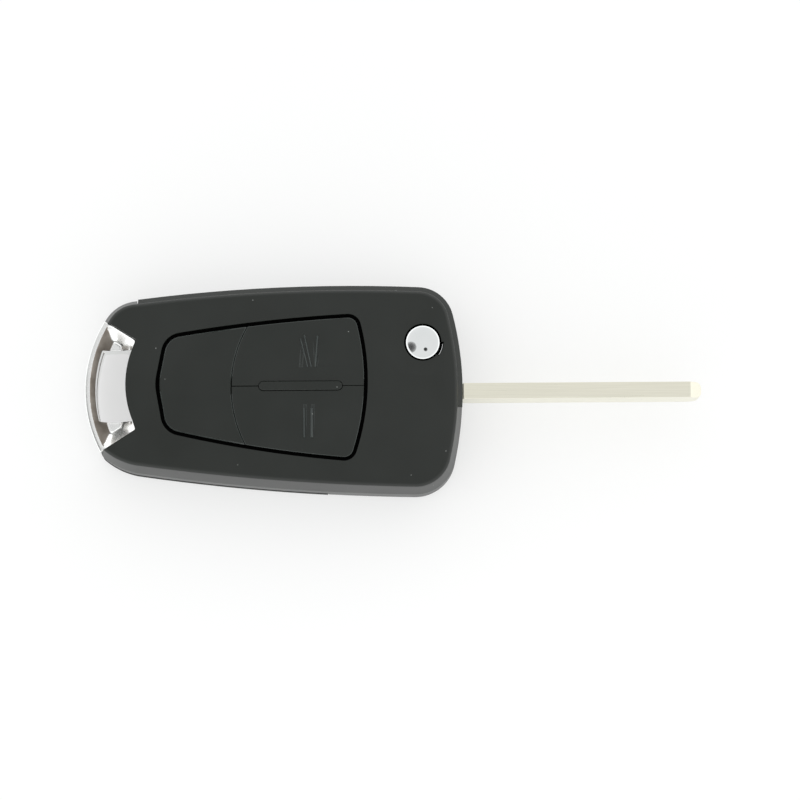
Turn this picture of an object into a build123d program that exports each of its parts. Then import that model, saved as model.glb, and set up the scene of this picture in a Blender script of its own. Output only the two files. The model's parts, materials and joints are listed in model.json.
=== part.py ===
from build123d import *
import math
import os

os.makedirs("parts", exist_ok=True)

# The key lies on its back with the blade out. The origin is the flip hinge axis at the back face,
# +X runs along the open blade, +Y towards the long edge that takes the folded blade, +Z out of
# the button face. All lengths are millimetres.

# Housing outline, seen on the button face
nose_reach = 7.8
nose_bulge = 3.4
spine_reach = 10.9
spine_bulge = 1.42
belly_reach = 29.5
belly_bulge = 1.1
spine_corner_radius = 7.2
belly_corner_radius = 8.0
tail_margin = 0.1
tail_spine_reach = 9.0
tail_belly_reach = 24.85
ear_length = 6.2
ear_tip_y = 5.2
ear_bulge = 0.95
ear_stand = 0.4
ear_draft = 15.0
chin_length = 7.1
chin_tip_y = -21.4
chin_bulge = 0.55
bow_bulge = 3.6
tail_corner_radius = 3.0
tail_blend_radius = 10.0

# Housing heights and walls
crest_height = 15.2
parting_height = 7.6
face_wall = 1.9
back_wall = 1.4
side_wall = 1.8
side_draft = 9.0
brow_end_y = -12.7
brow_rise = 1.2
face_edge_radius = 0.9
back_edge_radius = 0.8
crown_across_radius = 320.0
crown_along_radius = 1000.0
crest_x = -24.0
crest_y = -9.4
nose_roll_start = 3.2
nose_roll_radius = 13.0
nose_roll_sweep = 40.0
seam_gap = 0.05
cut_overlap = 0.1
cut_overrun = 8.0

# Bow side of the housing
bow_axis_y = -7.9
shoulder_margin = 1.5
shoulder_half_width = 8.85
shoulder_slope = 32.3
tongue_length = 0.9
tongue_half_width = 6.5
tongue_bulge = 1.15
bow_side_reach = 20.0

# Chrome bow
bow_bottom = 2.3
bow_top = 12.6
bow_rim_width = 1.1
bow_band_width = 2.1
bow_window_half_width = 7.05
bow_pocket_depth = 2.3
bow_edge_radius = 0.35
bow_lug_length = 3.2
bow_lug_depth = 2.2
bow_lug_margin = 1.7
bow_lug_cover = 0.8
bow_valley_radius = 1.2
bow_clearance = 0.06
bow_seat_clearance = 0.12

# Blade and its hinge
blade_width = 8.8
blade_thickness = 3.1
blade_offset = 9.4
blade_reach = 54.9
blade_root_reach = 7.95
blade_tip_length = 2.4
blade_tip_drop = 2.2
blade_tip_radius = 1.1
blade_edge_chamfer = 0.25
blade_tang_height = 6.4
blade_tang_start = 0.6
tang_overrun = 2.0
flip_angle = 182.5
slot_side_clearance = 0.4
blade_clearance = 0.4
channel_wall = 0.8
channel_end_clearance = 1.2
slot_overrun = 6.0

# Flip head
head_clearance = 0.2
barrel_radius = 6.0
barrel_clearance = 0.4
barrel_side_angle = 20.0
head_end_clearance = 0.6
arm_back_reach = 3.0
arm_nose_gap = 0.3
arm_side_margin = 0.1
arm_stop_clearance = 0.3
trunnion_radius = 3.0
trunnion_length = 1.6
collar_radius = 5.5
collar_height = 0.8
bearing_clearance = 0.06
bore_floor = 1.4
roll_pin_radius = 0.8
roll_pin_bore = 0.4
roll_pin_x = 4.1

# Release button
button_radius = 3.32
button_gap = 0.35
button_stand = 0.15
button_dome_height = 0.4
button_edge_chamfer = 0.15
button_flange_radius = 4.2
button_flange_height = 1.2
button_flange_drop = 4.1
lug_radius = 4.0
lug_height = 1.0
lug_start_angle = -38.0
lug_sweep = 36.0
lug_clearance = 0.3
notch_clearance = 0.14
notch_side_angle = 3.0
counterbore_clearance = 0.1
lip_thickness = 0.75
thumb_dish_radius = 5.8
thumb_dish_depth = 0.3

# Flip spring
spring_wire = 0.7
spring_radius = 3.2
spring_turns = 4.5
spring_clearance = 0.1

# Button pad outline, inside the groove
pad_left_x = -51.94
pad_left_y = -7.9
pad_spine_left = (-50.17, 1.05)
pad_spine_right = (-13.3, 5.02)
pad_belly_right = (-14.3, -22.66)
pad_belly_left = (-50.35, -16.79)
pad_spine_bulge = 0.545
pad_belly_bulge = 0.73
pad_nose_bulge = 2.2
pad_apex_radius = 8.25
pad_left_radius = 3.45
pad_right_radius = 1.85

# Button pad and keys
pad_groove = 0.75
pad_recess = 0.08
pad_membrane = 0.9
pad_flange = 0.2
pad_side_height = 0.6
pad_edge_chamfer = 0.2
key_seam = 0.08
key_gap = 0.1
key_travel = 0.5
key_seam_y = -8.5
key_seam_radius = 24.6
key_seam_reach = 37.65
ridge_start_x = -32.2
ridge_end_x = -15.9
ridge_width = 1.7
ridge_stand = 0.22
ridge_edge_chamfer = 0.12
stem_radius = 1.6
stem_clearance = 0.25
unlock_x = -22.4
unlock_y = -1.4
lock_x = -22.4
lock_y = -15.6
icon_depth = 0.14
icon_line = 0.45
icon_length = 6.6
icon_lean = 95.0
unlock_icon_width = 3.6
lock_icon_width = 2.0

# Circuit board and what it carries
board_thickness = 0.8
board_depth = 6.8
board_clearance = 0.4
switch_size = 4.6
switch_height = 1.8
switch_corner_radius = 0.4
plunger_radius = 1.0
plunger_length = 0.9
plunger_stand = 0.5
plunger_clearance = 0.06
plunger_edge_chamfer = 0.15
chip_size = 5.0
chip_height = 0.9
chip_edge_chamfer = 0.15
chip_x = -33.0
chip_y = -8.6
crystal_length = 3.2
crystal_width = 2.5
crystal_height = 0.8
crystal_edge_chamfer = 0.15
crystal_corner_radius = 0.5
crystal_x = -32.0
crystal_y = -15.5
transponder_length = 12.0
transponder_width = 6.0
transponder_height = 3.0
transponder_edge_chamfer = 0.6
transponder_x = -13.9
transponder_y = -19.0

# Coin cell and its contacts
cell_radius = 10.0
cell_height = 3.2
cell_step = 0.25
cell_cap_inset = 1.0
cell_x = -38.5
cell_y = -10.0
cell_bottom = 3.2
cell_clearance = 0.6
contact_thickness = 0.25
contact_width = 3.2
contact_gap = 0.02
contact_run = 8.0
contact_touch_run = 6.0
contact_foot = 3.0
clip_sweep = 56.0
clip_foot = 1.6
clip_height_gap = 0.1

# Tray under the pad
tray_plate = 0.8
tray_wall = 0.9
tray_clearance = 0.25
tray_seat_gap = 0.05

# Battery cover on the back
cover_nose_end = -19.0
cover_thickness = 2.1
cover_gap = 0.1
cover_proud = 0.12
cover_boss_radius = 7.5
cover_boss_gap = 0.25
cover_grip_width = 9.0
cover_grip_depth = 0.7
cover_grip_length = 2.6
deck_thickness = 1.2

# Bosses that line up the two shells
boss_radius = 1.5
boss_pin_radius = 0.8
boss_pin_length = 2.6
boss_pin_clearance = 0.06
boss_board_clearance = 0.3
boss_inset = 1.9
nose_boss_inset = 2.7

# Lengths and heights that follow
shoulder_reach = blade_reach + shoulder_margin
tail_reach = shoulder_reach + tail_margin
tongue_reach = shoulder_reach + tongue_length
ear_tip_reach = shoulder_reach + ear_length
chin_tip_reach = shoulder_reach + chin_length
key_length = nose_reach + ear_tip_reach
cover_region_x = cover_nose_end + cover_gap
deck_bottom = cover_thickness + cover_gap
deck_top = deck_bottom + deck_thickness
ceiling_height = crest_height - face_wall
face_bottom = parting_height + seam_gap / 2
face_lean = (crest_height - face_bottom) * math.tan(math.radians(side_draft))
blade_bottom = 3.4
blade_top = blade_bottom + blade_width
blade_middle = blade_bottom + blade_width / 2
slot_floor = blade_bottom - slot_side_clearance
slot_ceiling = blade_top + slot_side_clearance
head_bottom = slot_floor + head_clearance
head_top = slot_ceiling - head_clearance
board_bottom = crest_height - board_depth
board_top = board_bottom + board_thickness
switch_top = board_top + switch_height
plunger_top = switch_top + plunger_stand
membrane_top = ceiling_height - seam_gap
membrane_bottom = membrane_top - pad_membrane
tray_top = membrane_bottom - seam_gap
key_bottom = membrane_top + key_travel + key_gap


def crown_height(x, y):
    """Height of the crowned face at a place left of the roll at the nose."""
    along = crown_along_radius - math.sqrt(crown_along_radius**2 - (x - crest_x) ** 2)
    across = crown_across_radius - math.sqrt(crown_across_radius**2 - (y - crest_y) ** 2)
    return crest_height - along - across


def folded(x, y):
    """Place that a point of the open flip head takes when the blade is folded away."""
    turn = math.radians(flip_angle)
    return (x * math.cos(turn) - y * math.sin(turn), x * math.sin(turn) + y * math.cos(turn))


def lying_edges(builder, height):
    """Edges of a part in progress that lie above a height and run across more than they rise."""
    high = builder.edges().filter_by(lambda e: e.center().Z > height)
    return high.filter_by(lambda e: e.bounding_box().size.Z < e.length / 2)


def round_key_corners(plan, grown):
    """Round the corners of the key's outline, on a plan that is offset from it by the growth."""
    nose_corners = plan.vertices().sort_by(Axis.X)[-2:]
    fillet(nose_corners.sort_by(Axis.Y)[-1], spine_corner_radius + grown)
    fillet(plan.vertices().sort_by(Axis.Y)[0], belly_corner_radius + grown)
    fillet(plan.vertices().sort_by(Axis.X)[2:4], tail_blend_radius + grown)
    fillet(plan.vertices().sort_by(Axis.X)[:2], tail_corner_radius + grown)


# Outline of the whole key without its blade: two long edges, nose, ear, bow and chin
nose_corner_x = nose_reach - nose_bulge
with BuildSketch() as key_corners:
    with BuildLine():
        SagittaArc((-tail_reach, tail_spine_reach), (nose_corner_x, spine_reach), spine_bulge)
        SagittaArc((nose_corner_x, spine_reach), (nose_corner_x, -belly_reach), nose_bulge)
        SagittaArc((nose_corner_x, -belly_reach), (-tail_reach, -tail_belly_reach), belly_bulge)
        SagittaArc((-tail_reach, -tail_belly_reach), (-chin_tip_reach, chin_tip_y), chin_bulge)
        SagittaArc((-chin_tip_reach, chin_tip_y), (-ear_tip_reach, ear_tip_y), bow_bulge)
        SagittaArc((-ear_tip_reach, ear_tip_y), (-tail_reach, tail_spine_reach), ear_bulge)
    make_face()
with BuildSketch() as key_outline:
    add(key_corners.sketch)
    round_key_corners(key_outline, 0)
with BuildSketch() as crest_outline:
    add(key_corners.sketch)
    offset(amount=-face_lean, kind=Kind.INTERSECTION)
    round_key_corners(crest_outline, -face_lean)
with BuildSketch() as head_field:
    add(key_corners.sketch)
    offset(amount=-arm_nose_gap, kind=Kind.INTERSECTION)
    round_key_corners(head_field, -arm_nose_gap)
with BuildSketch() as head_side_field:
    add(key_corners.sketch)
    offset(amount=-arm_side_margin, kind=Kind.INTERSECTION)
    round_key_corners(head_side_field, -arm_side_margin)

# Ground left of the housing's bow side: shoulders, tongue between them and everything beyond
shoulder_rise = bow_side_reach * math.tan(math.radians(shoulder_slope))
shoulder_spine = (-shoulder_reach, bow_axis_y + shoulder_half_width)
shoulder_belly = (-shoulder_reach, bow_axis_y - shoulder_half_width)
tongue_spine = (-tongue_reach, bow_axis_y + tongue_half_width)
tongue_belly = (-tongue_reach, bow_axis_y - tongue_half_width)
with BuildSketch() as bow_side:
    with BuildLine():
        Line((-shoulder_reach - bow_side_reach, shoulder_spine[1] + shoulder_rise), shoulder_spine)
        Line(shoulder_spine, tongue_spine)
        SagittaArc(tongue_spine, tongue_belly, -tongue_bulge)
        Line(tongue_belly, shoulder_belly)
        Line(shoulder_belly, (-shoulder_reach - bow_side_reach, shoulder_belly[1] - shoulder_rise))
        Line(
            (-shoulder_reach - bow_side_reach, shoulder_belly[1] - shoulder_rise),
            (-shoulder_reach - bow_side_reach, shoulder_spine[1] + shoulder_rise),
        )
    make_face()

# Seats for the bow's two lugs, under the ear and the chin
lug_angle = math.radians(shoulder_slope)
lug_along = bow_lug_margin + bow_lug_length / 2
lug_spine = (
    -shoulder_reach - lug_along * math.cos(lug_angle) + (bow_lug_depth / 2) * math.sin(lug_angle),
    shoulder_spine[1] + lug_along * math.sin(lug_angle) + (bow_lug_depth / 2) * math.cos(lug_angle),
)
lug_belly = (lug_spine[0], 2 * bow_axis_y - lug_spine[1])
bow_lug_bottom = bow_bottom + bow_pocket_depth + bow_lug_cover
bow_lug_top = bow_top - bow_pocket_depth - bow_lug_cover

# Footprint of the flip head, open, and the slot that it and the folded blade need
arm_spine_side = -blade_offset + blade_thickness / 2 + arm_side_margin
arm_belly_side = -blade_offset - blade_thickness / 2 - arm_side_margin
arm_tip = nose_reach - arm_nose_gap
barrel_side = math.radians(barrel_side_angle)
with BuildSketch() as head_plan:
    with BuildLine():
        Polyline(
            (-arm_back_reach, arm_belly_side),
            (arm_tip, arm_belly_side),
            (arm_tip, arm_spine_side + arm_side_margin),
            (barrel_radius * math.cos(barrel_side), -barrel_radius * math.sin(barrel_side)),
            (0, 0),
            (-arm_back_reach, -barrel_radius / 2),
            close=True,
        )
    make_face()
    Circle(barrel_radius)
    add(head_field.sketch, mode=Mode.INTERSECT)
    add(head_side_field.sketch.rotate(Axis.Z, -flip_angle), mode=Mode.INTERSECT)

channel_side = -(blade_offset - blade_thickness / 2 - blade_clearance)
stop_side = arm_belly_side - arm_stop_clearance
channel_end = blade_reach + channel_end_clearance
slot_back = -arm_back_reach - blade_clearance
slot_beyond = spine_reach + slot_overrun
slot_nose = nose_reach + slot_overrun
with BuildSketch() as slot_plan:
    Circle(barrel_radius + barrel_clearance)
    with Locations(((slot_back + slot_nose) / 2, (stop_side + slot_beyond) / 2)):
        Rectangle(slot_nose - slot_back, slot_beyond - stop_side)
    with BuildLine():
        Polyline(
            folded(0, channel_side),
            folded(channel_end, channel_side),
            folded(channel_end, -slot_beyond),
            folded(0, -slot_beyond),
            close=True,
        )
    make_face()
    with BuildLine():
        Polyline(
            folded(0, 0),
            folded(nose_reach + head_end_clearance, 0),
            folded(nose_reach + head_end_clearance, -slot_beyond),
            folded(0, -slot_beyond),
            close=True,
        )
    make_face()

# Room for the electronics: inside the walls, below the blade channel, behind the flip head
bay_side = channel_side + channel_wall
bay_nose_x = -barrel_radius - barrel_clearance - channel_wall
bay_bow_x = -shoulder_reach + side_wall
with BuildSketch() as bay_plan:
    add(key_outline.sketch)
    offset(amount=-side_wall)
    with BuildLine():
        Polyline(
            (bay_bow_x, -belly_reach * 2),
            (bay_nose_x, -belly_reach * 2),
            (bay_nose_x, folded(-bay_nose_x, bay_side)[1]),
            (bay_bow_x, folded(-bay_bow_x, bay_side)[1]),
            close=True,
        )
    make_face(mode=Mode.INTERSECT)

# Places of the bosses, in the four corners of the bay
tail_bosses = [
    (bay_bow_x + boss_inset, folded(-bay_bow_x, bay_side)[1] - boss_inset),
    (bay_bow_x + boss_inset, -tail_belly_reach + side_wall + boss_inset),
]
nose_bosses = [
    (bay_nose_x - boss_inset, folded(-bay_nose_x, bay_side)[1] - boss_inset),
    (bay_nose_x - boss_inset, -belly_reach + side_wall + nose_boss_inset),
]

# The button pad's outline, and the window in the face that leaves a groove round it
with BuildSketch() as pad_corners:
    with BuildLine():
        Line((pad_left_x, pad_left_y), pad_spine_left)
        SagittaArc(pad_spine_left, pad_spine_right, pad_spine_bulge)
        SagittaArc(pad_spine_right, pad_belly_right, pad_nose_bulge)
        SagittaArc(pad_belly_right, pad_belly_left, pad_belly_bulge)
        Line(pad_belly_left, (pad_left_x, pad_left_y))
    make_face()


def round_pad_corners(plan, grown):
    """Round the five corners of a pad plan that stands the given amount outside the pad."""
    fillet(plan.vertices().sort_by(Axis.X)[0], pad_apex_radius + grown)
    fillet(plan.vertices().sort_by(Axis.X)[-2:], pad_right_radius + grown)
    fillet(plan.vertices().sort_by(Axis.X)[2:4], pad_left_radius + grown)


with BuildSketch() as pad_plan:
    add(pad_corners.sketch)
    round_pad_corners(pad_plan, 0)

with BuildSketch() as window_plan:
    add(pad_corners.sketch)
    offset(amount=pad_groove, kind=Kind.INTERSECTION)
    round_pad_corners(window_plan, pad_groove)

with BuildSketch() as membrane_plan:
    add(pad_corners.sketch)
    offset(amount=pad_groove + pad_flange, kind=Kind.INTERSECTION)
    round_pad_corners(membrane_plan, pad_groove + pad_flange)

# Plans of the two keys and of the pad's plain field, parted by an arc, a line and the ridge
ridge_length = ridge_end_x - ridge_start_x
seam_centre = (key_seam_radius - key_seam_reach, (pad_spine_right[1] + pad_belly_right[1]) / 2)
with BuildSketch() as keys_plan:
    add(pad_plan.sketch)
    with Locations(seam_centre):
        Circle(key_seam_radius - key_seam, mode=Mode.INTERSECT)
    with Locations(((ridge_start_x + ridge_end_x) / 2, key_seam_y)):
        SlotOverall(ridge_length + 2 * key_seam, ridge_width + 2 * key_seam, mode=Mode.SUBTRACT)
    with Locations((-tail_reach / 2, key_seam_y)):
        Rectangle(tail_reach, key_seam, mode=Mode.SUBTRACT)

with BuildSketch() as field_plan:
    add(pad_plan.sketch)
    with Locations(seam_centre):
        Circle(key_seam_radius, mode=Mode.SUBTRACT)

# Notch in the lip round the release button, where its lug would rise and lock
with BuildSketch() as notch_plan:
    Circle(lug_radius + notch_clearance)
    notch_reach = lug_radius + cut_overrun
    notch_first = math.radians(lug_start_angle - notch_side_angle)
    notch_last = math.radians(lug_start_angle + lug_sweep + notch_side_angle)
    with BuildLine():
        Polyline(
            (0, 0),
            (notch_reach * math.cos(notch_first), notch_reach * math.sin(notch_first)),
            (notch_reach * math.cos(notch_last), notch_reach * math.sin(notch_last)),
            close=True,
        )
    make_face(mode=Mode.INTERSECT)

# Bow lugs that reach under the ear and the chin, and their seats in both shells
with BuildSketch() as bow_lugs:
    with Locations(Location((lug_spine[0], lug_spine[1]), -shoulder_slope)):
        Rectangle(bow_lug_length, bow_lug_depth + 2 * bow_clearance)
    with Locations(Location((lug_belly[0], lug_belly[1]), shoulder_slope)):
        Rectangle(bow_lug_length, bow_lug_depth + 2 * bow_clearance)

with BuildSketch() as bow_lug_seats:
    with Locations(Location((lug_spine[0], lug_spine[1]), -shoulder_slope)):
        Rectangle(bow_lug_length + 2 * bow_clearance, bow_lug_depth + 2 * bow_seat_clearance)
    with Locations(Location((lug_belly[0], lug_belly[1]), shoulder_slope)):
        Rectangle(bow_lug_length + 2 * bow_clearance, bow_lug_depth + 2 * bow_seat_clearance)

# Bow outline, its tapered pocket and its window, all set off the key outline and the bow side
with BuildSketch() as bow_region:
    add(bow_side.sketch)
    offset(amount=-bow_clearance)

with BuildSketch() as pocket_side:
    add(bow_side.sketch)
    offset(amount=-2 * bow_clearance)

with BuildSketch() as bow_pocket:
    add(key_outline.sketch)
    offset(amount=-bow_rim_width)
    add(pocket_side.sketch, mode=Mode.INTERSECT)

with BuildSketch() as bow_window:
    add(key_outline.sketch)
    offset(amount=-bow_band_width)
    with Locations((-ear_tip_reach, bow_axis_y)):
        Rectangle(bow_side_reach, 2 * bow_window_half_width, mode=Mode.INTERSECT)

# Deep well at the nose end of the electronics bay
well_x = cover_region_x + side_wall
with BuildSketch() as well_plan:
    add(bay_plan.sketch)
    with Locations((well_x + key_length / 2, crest_y)):
        Rectangle(key_length, key_length, mode=Mode.INTERSECT)

# Crowned stock that gives the face its shape: a long arc that rolls over at the nose, swept across
crown_start = -ear_tip_reach - cut_overrun
with BuildPart() as crown_stock:
    with BuildSketch(Plane.XZ.offset(-crest_y)):
        with BuildLine():
            crown_line = ThreePointArc(
                (crown_start, crown_height(crown_start, crest_y)),
                (crest_x, crest_height),
                (nose_roll_start, crown_height(nose_roll_start, crest_y)),
            )
            nose_roll = JernArc(crown_line @ 1, crown_line % 1, nose_roll_radius, -nose_roll_sweep)
            Polyline(
                nose_roll @ 1,
                ((nose_roll @ 1).X, -crest_height),
                (crown_start, -crest_height),
                crown_line @ 0,
            )
        make_face()
    revolve(axis=Axis((0, crest_y, crest_height - crown_across_radius), (1, 0, 0)))

# Ear: the spine corner at the bow, which stands proud of the slot for the folded blade
ear_lean = (crest_height - face_bottom) * math.tan(math.radians(ear_draft))
ear_nick_x = folded(channel_end, 0)[0]
with BuildSketch() as ear_foot_outline:
    add(key_corners.sketch)
    offset(amount=ear_stand, kind=Kind.INTERSECTION)
    round_key_corners(ear_foot_outline, ear_stand)
with BuildSketch() as ear_crest_outline:
    add(key_corners.sketch)
    offset(amount=ear_stand - ear_lean, kind=Kind.INTERSECTION)
    round_key_corners(ear_crest_outline, ear_stand - ear_lean)
with BuildPart() as ear_stock:
    with BuildSketch(Plane.XY.offset(face_bottom)):
        add(ear_foot_outline.sketch)
        with Locations((ear_nick_x - key_length / 2, key_length / 2)):
            Rectangle(key_length, key_length, mode=Mode.INTERSECT)
    with BuildSketch(Plane.XY.offset(crest_height)):
        add(ear_crest_outline.sketch)
        with Locations((ear_nick_x - key_length / 2, key_length / 2)):
            Rectangle(key_length, key_length, mode=Mode.INTERSECT)
    loft()

# Brow: a lip on the roof of the blade's slot that reaches out over the slot's open side
with BuildPart() as brow_stock:
    with BuildSketch(Plane.XY.offset(slot_ceiling)):
        add(key_outline.sketch)
        with Locations((ear_nick_x + key_length / 2, brow_end_y + key_length / 2)):
            Rectangle(key_length, key_length, mode=Mode.INTERSECT)
    with BuildSketch(Plane.XY.offset(slot_ceiling + brow_rise)):
        add(crest_outline.sketch)
        with Locations((ear_nick_x + key_length / 2, brow_end_y + key_length / 2)):
            Rectangle(key_length, key_length, mode=Mode.INTERSECT)
    loft()

# Front shell: crowned face, side walls down to the parting line, window, slot roof and button hole
button_face = crown_height(0, 0)
lip_bottom = button_face - thumb_dish_depth - lip_thickness
collar_top = head_top + collar_height
collar_seat_top = collar_top + bearing_clearance * 2
counterbore_radius = lug_radius + notch_clearance
dish_radius = (thumb_dish_radius**2 + thumb_dish_depth**2) / (2 * thumb_dish_depth)
with BuildPart() as front_shell:
    with BuildSketch(Plane.XY.offset(face_bottom)):
        add(key_outline.sketch)
    with BuildSketch(Plane.XY.offset(crest_height)):
        add(crest_outline.sketch)
    loft()
    add(ear_stock.part)
    add(crown_stock.part, mode=Mode.INTERSECT)
    fillet(lying_edges(front_shell, lip_bottom - nose_roll_start), face_edge_radius)
    add(brow_stock.part)
    with BuildSketch(Plane.XY.offset(face_bottom)):
        add(bow_side.sketch)
    extrude(amount=crest_height, mode=Mode.SUBTRACT)
    with BuildSketch(Plane.XY.offset(face_bottom)):
        add(bay_plan.sketch)
    extrude(amount=ceiling_height - face_bottom, mode=Mode.SUBTRACT)
    with BuildSketch(Plane.XY.offset(face_bottom)):
        add(slot_plan.sketch)
    extrude(amount=slot_ceiling - face_bottom, mode=Mode.SUBTRACT)
    with BuildSketch(Plane.XY.offset(face_bottom)):
        add(window_plan.sketch)
    extrude(amount=crest_height, mode=Mode.SUBTRACT)
    with BuildSketch(Plane.XY.offset(slot_ceiling - cut_overlap)):
        Circle(collar_radius + bearing_clearance)
    extrude(amount=collar_seat_top - slot_ceiling + cut_overlap, mode=Mode.SUBTRACT)
    with BuildSketch(Plane.XY.offset(slot_ceiling - cut_overlap)):
        Circle(counterbore_radius + counterbore_clearance)
    extrude(amount=lip_bottom - slot_ceiling + cut_overlap, mode=Mode.SUBTRACT)
    with BuildSketch(Plane.XY.offset(slot_ceiling - cut_overlap)):
        Circle(button_radius + button_gap)
    extrude(amount=crest_height, mode=Mode.SUBTRACT)
    with Locations((0, 0, button_face + dish_radius - thumb_dish_depth)):
        Sphere(dish_radius, mode=Mode.SUBTRACT)
    with BuildSketch(Plane.XY.offset(slot_ceiling - cut_overlap)):
        add(notch_plan.sketch)
    extrude(amount=crest_height, mode=Mode.SUBTRACT)
    with BuildSketch(Plane.XY.offset(bow_lug_bottom - bow_clearance)):
        add(bow_lug_seats.sketch)
    extrude(amount=bow_lug_top - bow_lug_bottom + 2 * bow_clearance, mode=Mode.SUBTRACT)
    with BuildSketch(Plane.XY.offset(board_top + seam_gap)):
        with Locations(*tail_bosses, *nose_bosses):
            Circle(boss_radius)
    extrude(amount=ceiling_height - board_top)
    with BuildSketch(Plane.XY.offset(board_top + seam_gap)):
        with Locations(*tail_bosses, *nose_bosses):
            Circle(boss_pin_radius)
    extrude(amount=-(board_thickness + boss_pin_length))
front_shell.part.label = "front_shell"
export_step(front_shell.part, "parts/front_shell.step")

# Rear shell: flat back, side walls up to the parting line, deck over the battery cover
rear_top = parting_height - seam_gap / 2
boss_top = board_bottom - seam_gap
with BuildPart() as rear_shell:
    with BuildSketch():
        add(key_outline.sketch)
    extrude(amount=rear_top)
    fillet(rear_shell.edges().group_by(Axis.Z)[0], back_edge_radius)
    with BuildSketch():
        add(bow_side.sketch)
    extrude(amount=rear_top, mode=Mode.SUBTRACT)
    with BuildSketch():
        with Locations((cover_region_x - key_length / 2, crest_y)):
            Rectangle(key_length, key_length)
    extrude(amount=deck_bottom, mode=Mode.SUBTRACT)
    with BuildSketch(Plane.XY.offset(deck_top)):
        add(bay_plan.sketch)
    extrude(amount=rear_top, mode=Mode.SUBTRACT)
    with BuildSketch(Plane.XY.offset(back_wall)):
        add(well_plan.sketch)
    extrude(amount=rear_top, mode=Mode.SUBTRACT)
    with BuildSketch(Plane.XY.offset(slot_floor)):
        add(slot_plan.sketch)
    extrude(amount=rear_top, mode=Mode.SUBTRACT)
    with BuildSketch(Plane.XY.offset(deck_bottom)):
        with Locations((cell_x, cell_y)):
            Circle(cell_radius + cell_clearance)
    extrude(amount=deck_thickness, mode=Mode.SUBTRACT)
    with BuildSketch(Plane.XY.offset(head_bottom - trunnion_length - bearing_clearance)):
        Circle(trunnion_radius + bearing_clearance)
    extrude(amount=trunnion_length, mode=Mode.SUBTRACT)
    with BuildSketch(Plane.XY.offset(bow_lug_bottom - bow_clearance)):
        add(bow_lug_seats.sketch)
    extrude(amount=rear_top, mode=Mode.SUBTRACT)
    with BuildSketch(Plane.XY.offset(boss_top)):
        with Locations(*tail_bosses):
            Circle(boss_radius)
    extrude(amount=deck_top - boss_top)
    with BuildSketch(Plane.XY.offset(boss_top)):
        with Locations(*nose_bosses):
            Circle(boss_radius)
    extrude(amount=back_wall - boss_top)
    with BuildSketch(Plane.XY.offset(boss_top)):
        with Locations(*tail_bosses, *nose_bosses):
            Circle(boss_pin_radius + boss_pin_clearance)
    extrude(amount=-(boss_pin_length + boss_pin_clearance), mode=Mode.SUBTRACT)
rear_shell.part.label = "rear_shell"
export_step(rear_shell.part, "parts/rear_shell.step")

# Battery cover: the bow half of the back, a hair proud of the walls above it
with BuildPart() as battery_cover:
    with BuildSketch():
        add(key_outline.sketch)
        offset(amount=cover_proud)
    extrude(amount=cover_thickness)
    fillet(battery_cover.edges().group_by(Axis.Z)[0], back_edge_radius)
    with BuildSketch():
        add(bow_side.sketch)
    extrude(amount=cover_thickness, mode=Mode.SUBTRACT)
    with BuildSketch():
        with Locations((cover_nose_end + key_length / 2, crest_y)):
            Rectangle(key_length, key_length)
    extrude(amount=cover_thickness, mode=Mode.SUBTRACT)
    with BuildSketch(Plane.XY.offset(cover_thickness)):
        with Locations((cell_x, cell_y)):
            Circle(cover_boss_radius)
    extrude(amount=cell_bottom - cover_boss_gap - cover_thickness)
    with BuildSketch(Plane.XY.offset(cover_grip_depth)):
        with Locations((-tongue_reach + cover_grip_length, bow_axis_y)):
            SlotOverall(cover_grip_width, cover_grip_length, rotation=90)
    extrude(amount=-cover_grip_depth, mode=Mode.SUBTRACT)
battery_cover.part.label = "battery_cover"
export_step(battery_cover.part, "parts/battery_cover.step")

# Stock for the bow's pocket, whose walls slope in at 45 degrees and meet in valleys
with BuildPart() as pocket_stock:
    with BuildSketch(Plane.XY.offset(bow_bottom)):
        add(bow_pocket.sketch)
    extrude(amount=bow_pocket_depth, taper=45)
    valleys = pocket_stock.edges().filter_by(lambda e: e.bounding_box().size.Z > bow_pocket_depth / 2)
    fillet(valleys, bow_valley_radius)

# Chrome bow: a band round the end with a tapered pocket on both faces and the ring window through
with BuildPart() as key_ring_bow:
    with BuildSketch(Plane.XY.offset(bow_bottom)):
        add(key_outline.sketch)
        add(bow_region.sketch, mode=Mode.INTERSECT)
    extrude(amount=bow_top - bow_bottom)
    bow_rims = key_ring_bow.edges().filter_by(Plane.XY).filter_by(GeomType.CIRCLE)
    fillet(bow_rims.filter_by(lambda e: e.center().X < -ear_tip_reach), bow_edge_radius)
    add(pocket_stock.part, mode=Mode.SUBTRACT)
    mirror(pocket_stock.part, about=Plane.XY.offset((bow_bottom + bow_top) / 2), mode=Mode.SUBTRACT)
    with BuildSketch(Plane.XY.offset(bow_bottom)):
        add(bow_window.sketch)
    extrude(amount=bow_top, mode=Mode.SUBTRACT)
    with BuildSketch(Plane.XY.offset(bow_lug_bottom)):
        add(bow_lugs.sketch)
    extrude(amount=bow_lug_top - bow_lug_bottom)
key_ring_bow.part.label = "key_ring_bow"
export_step(key_ring_bow.part, "parts/key_ring_bow.step")

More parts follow.
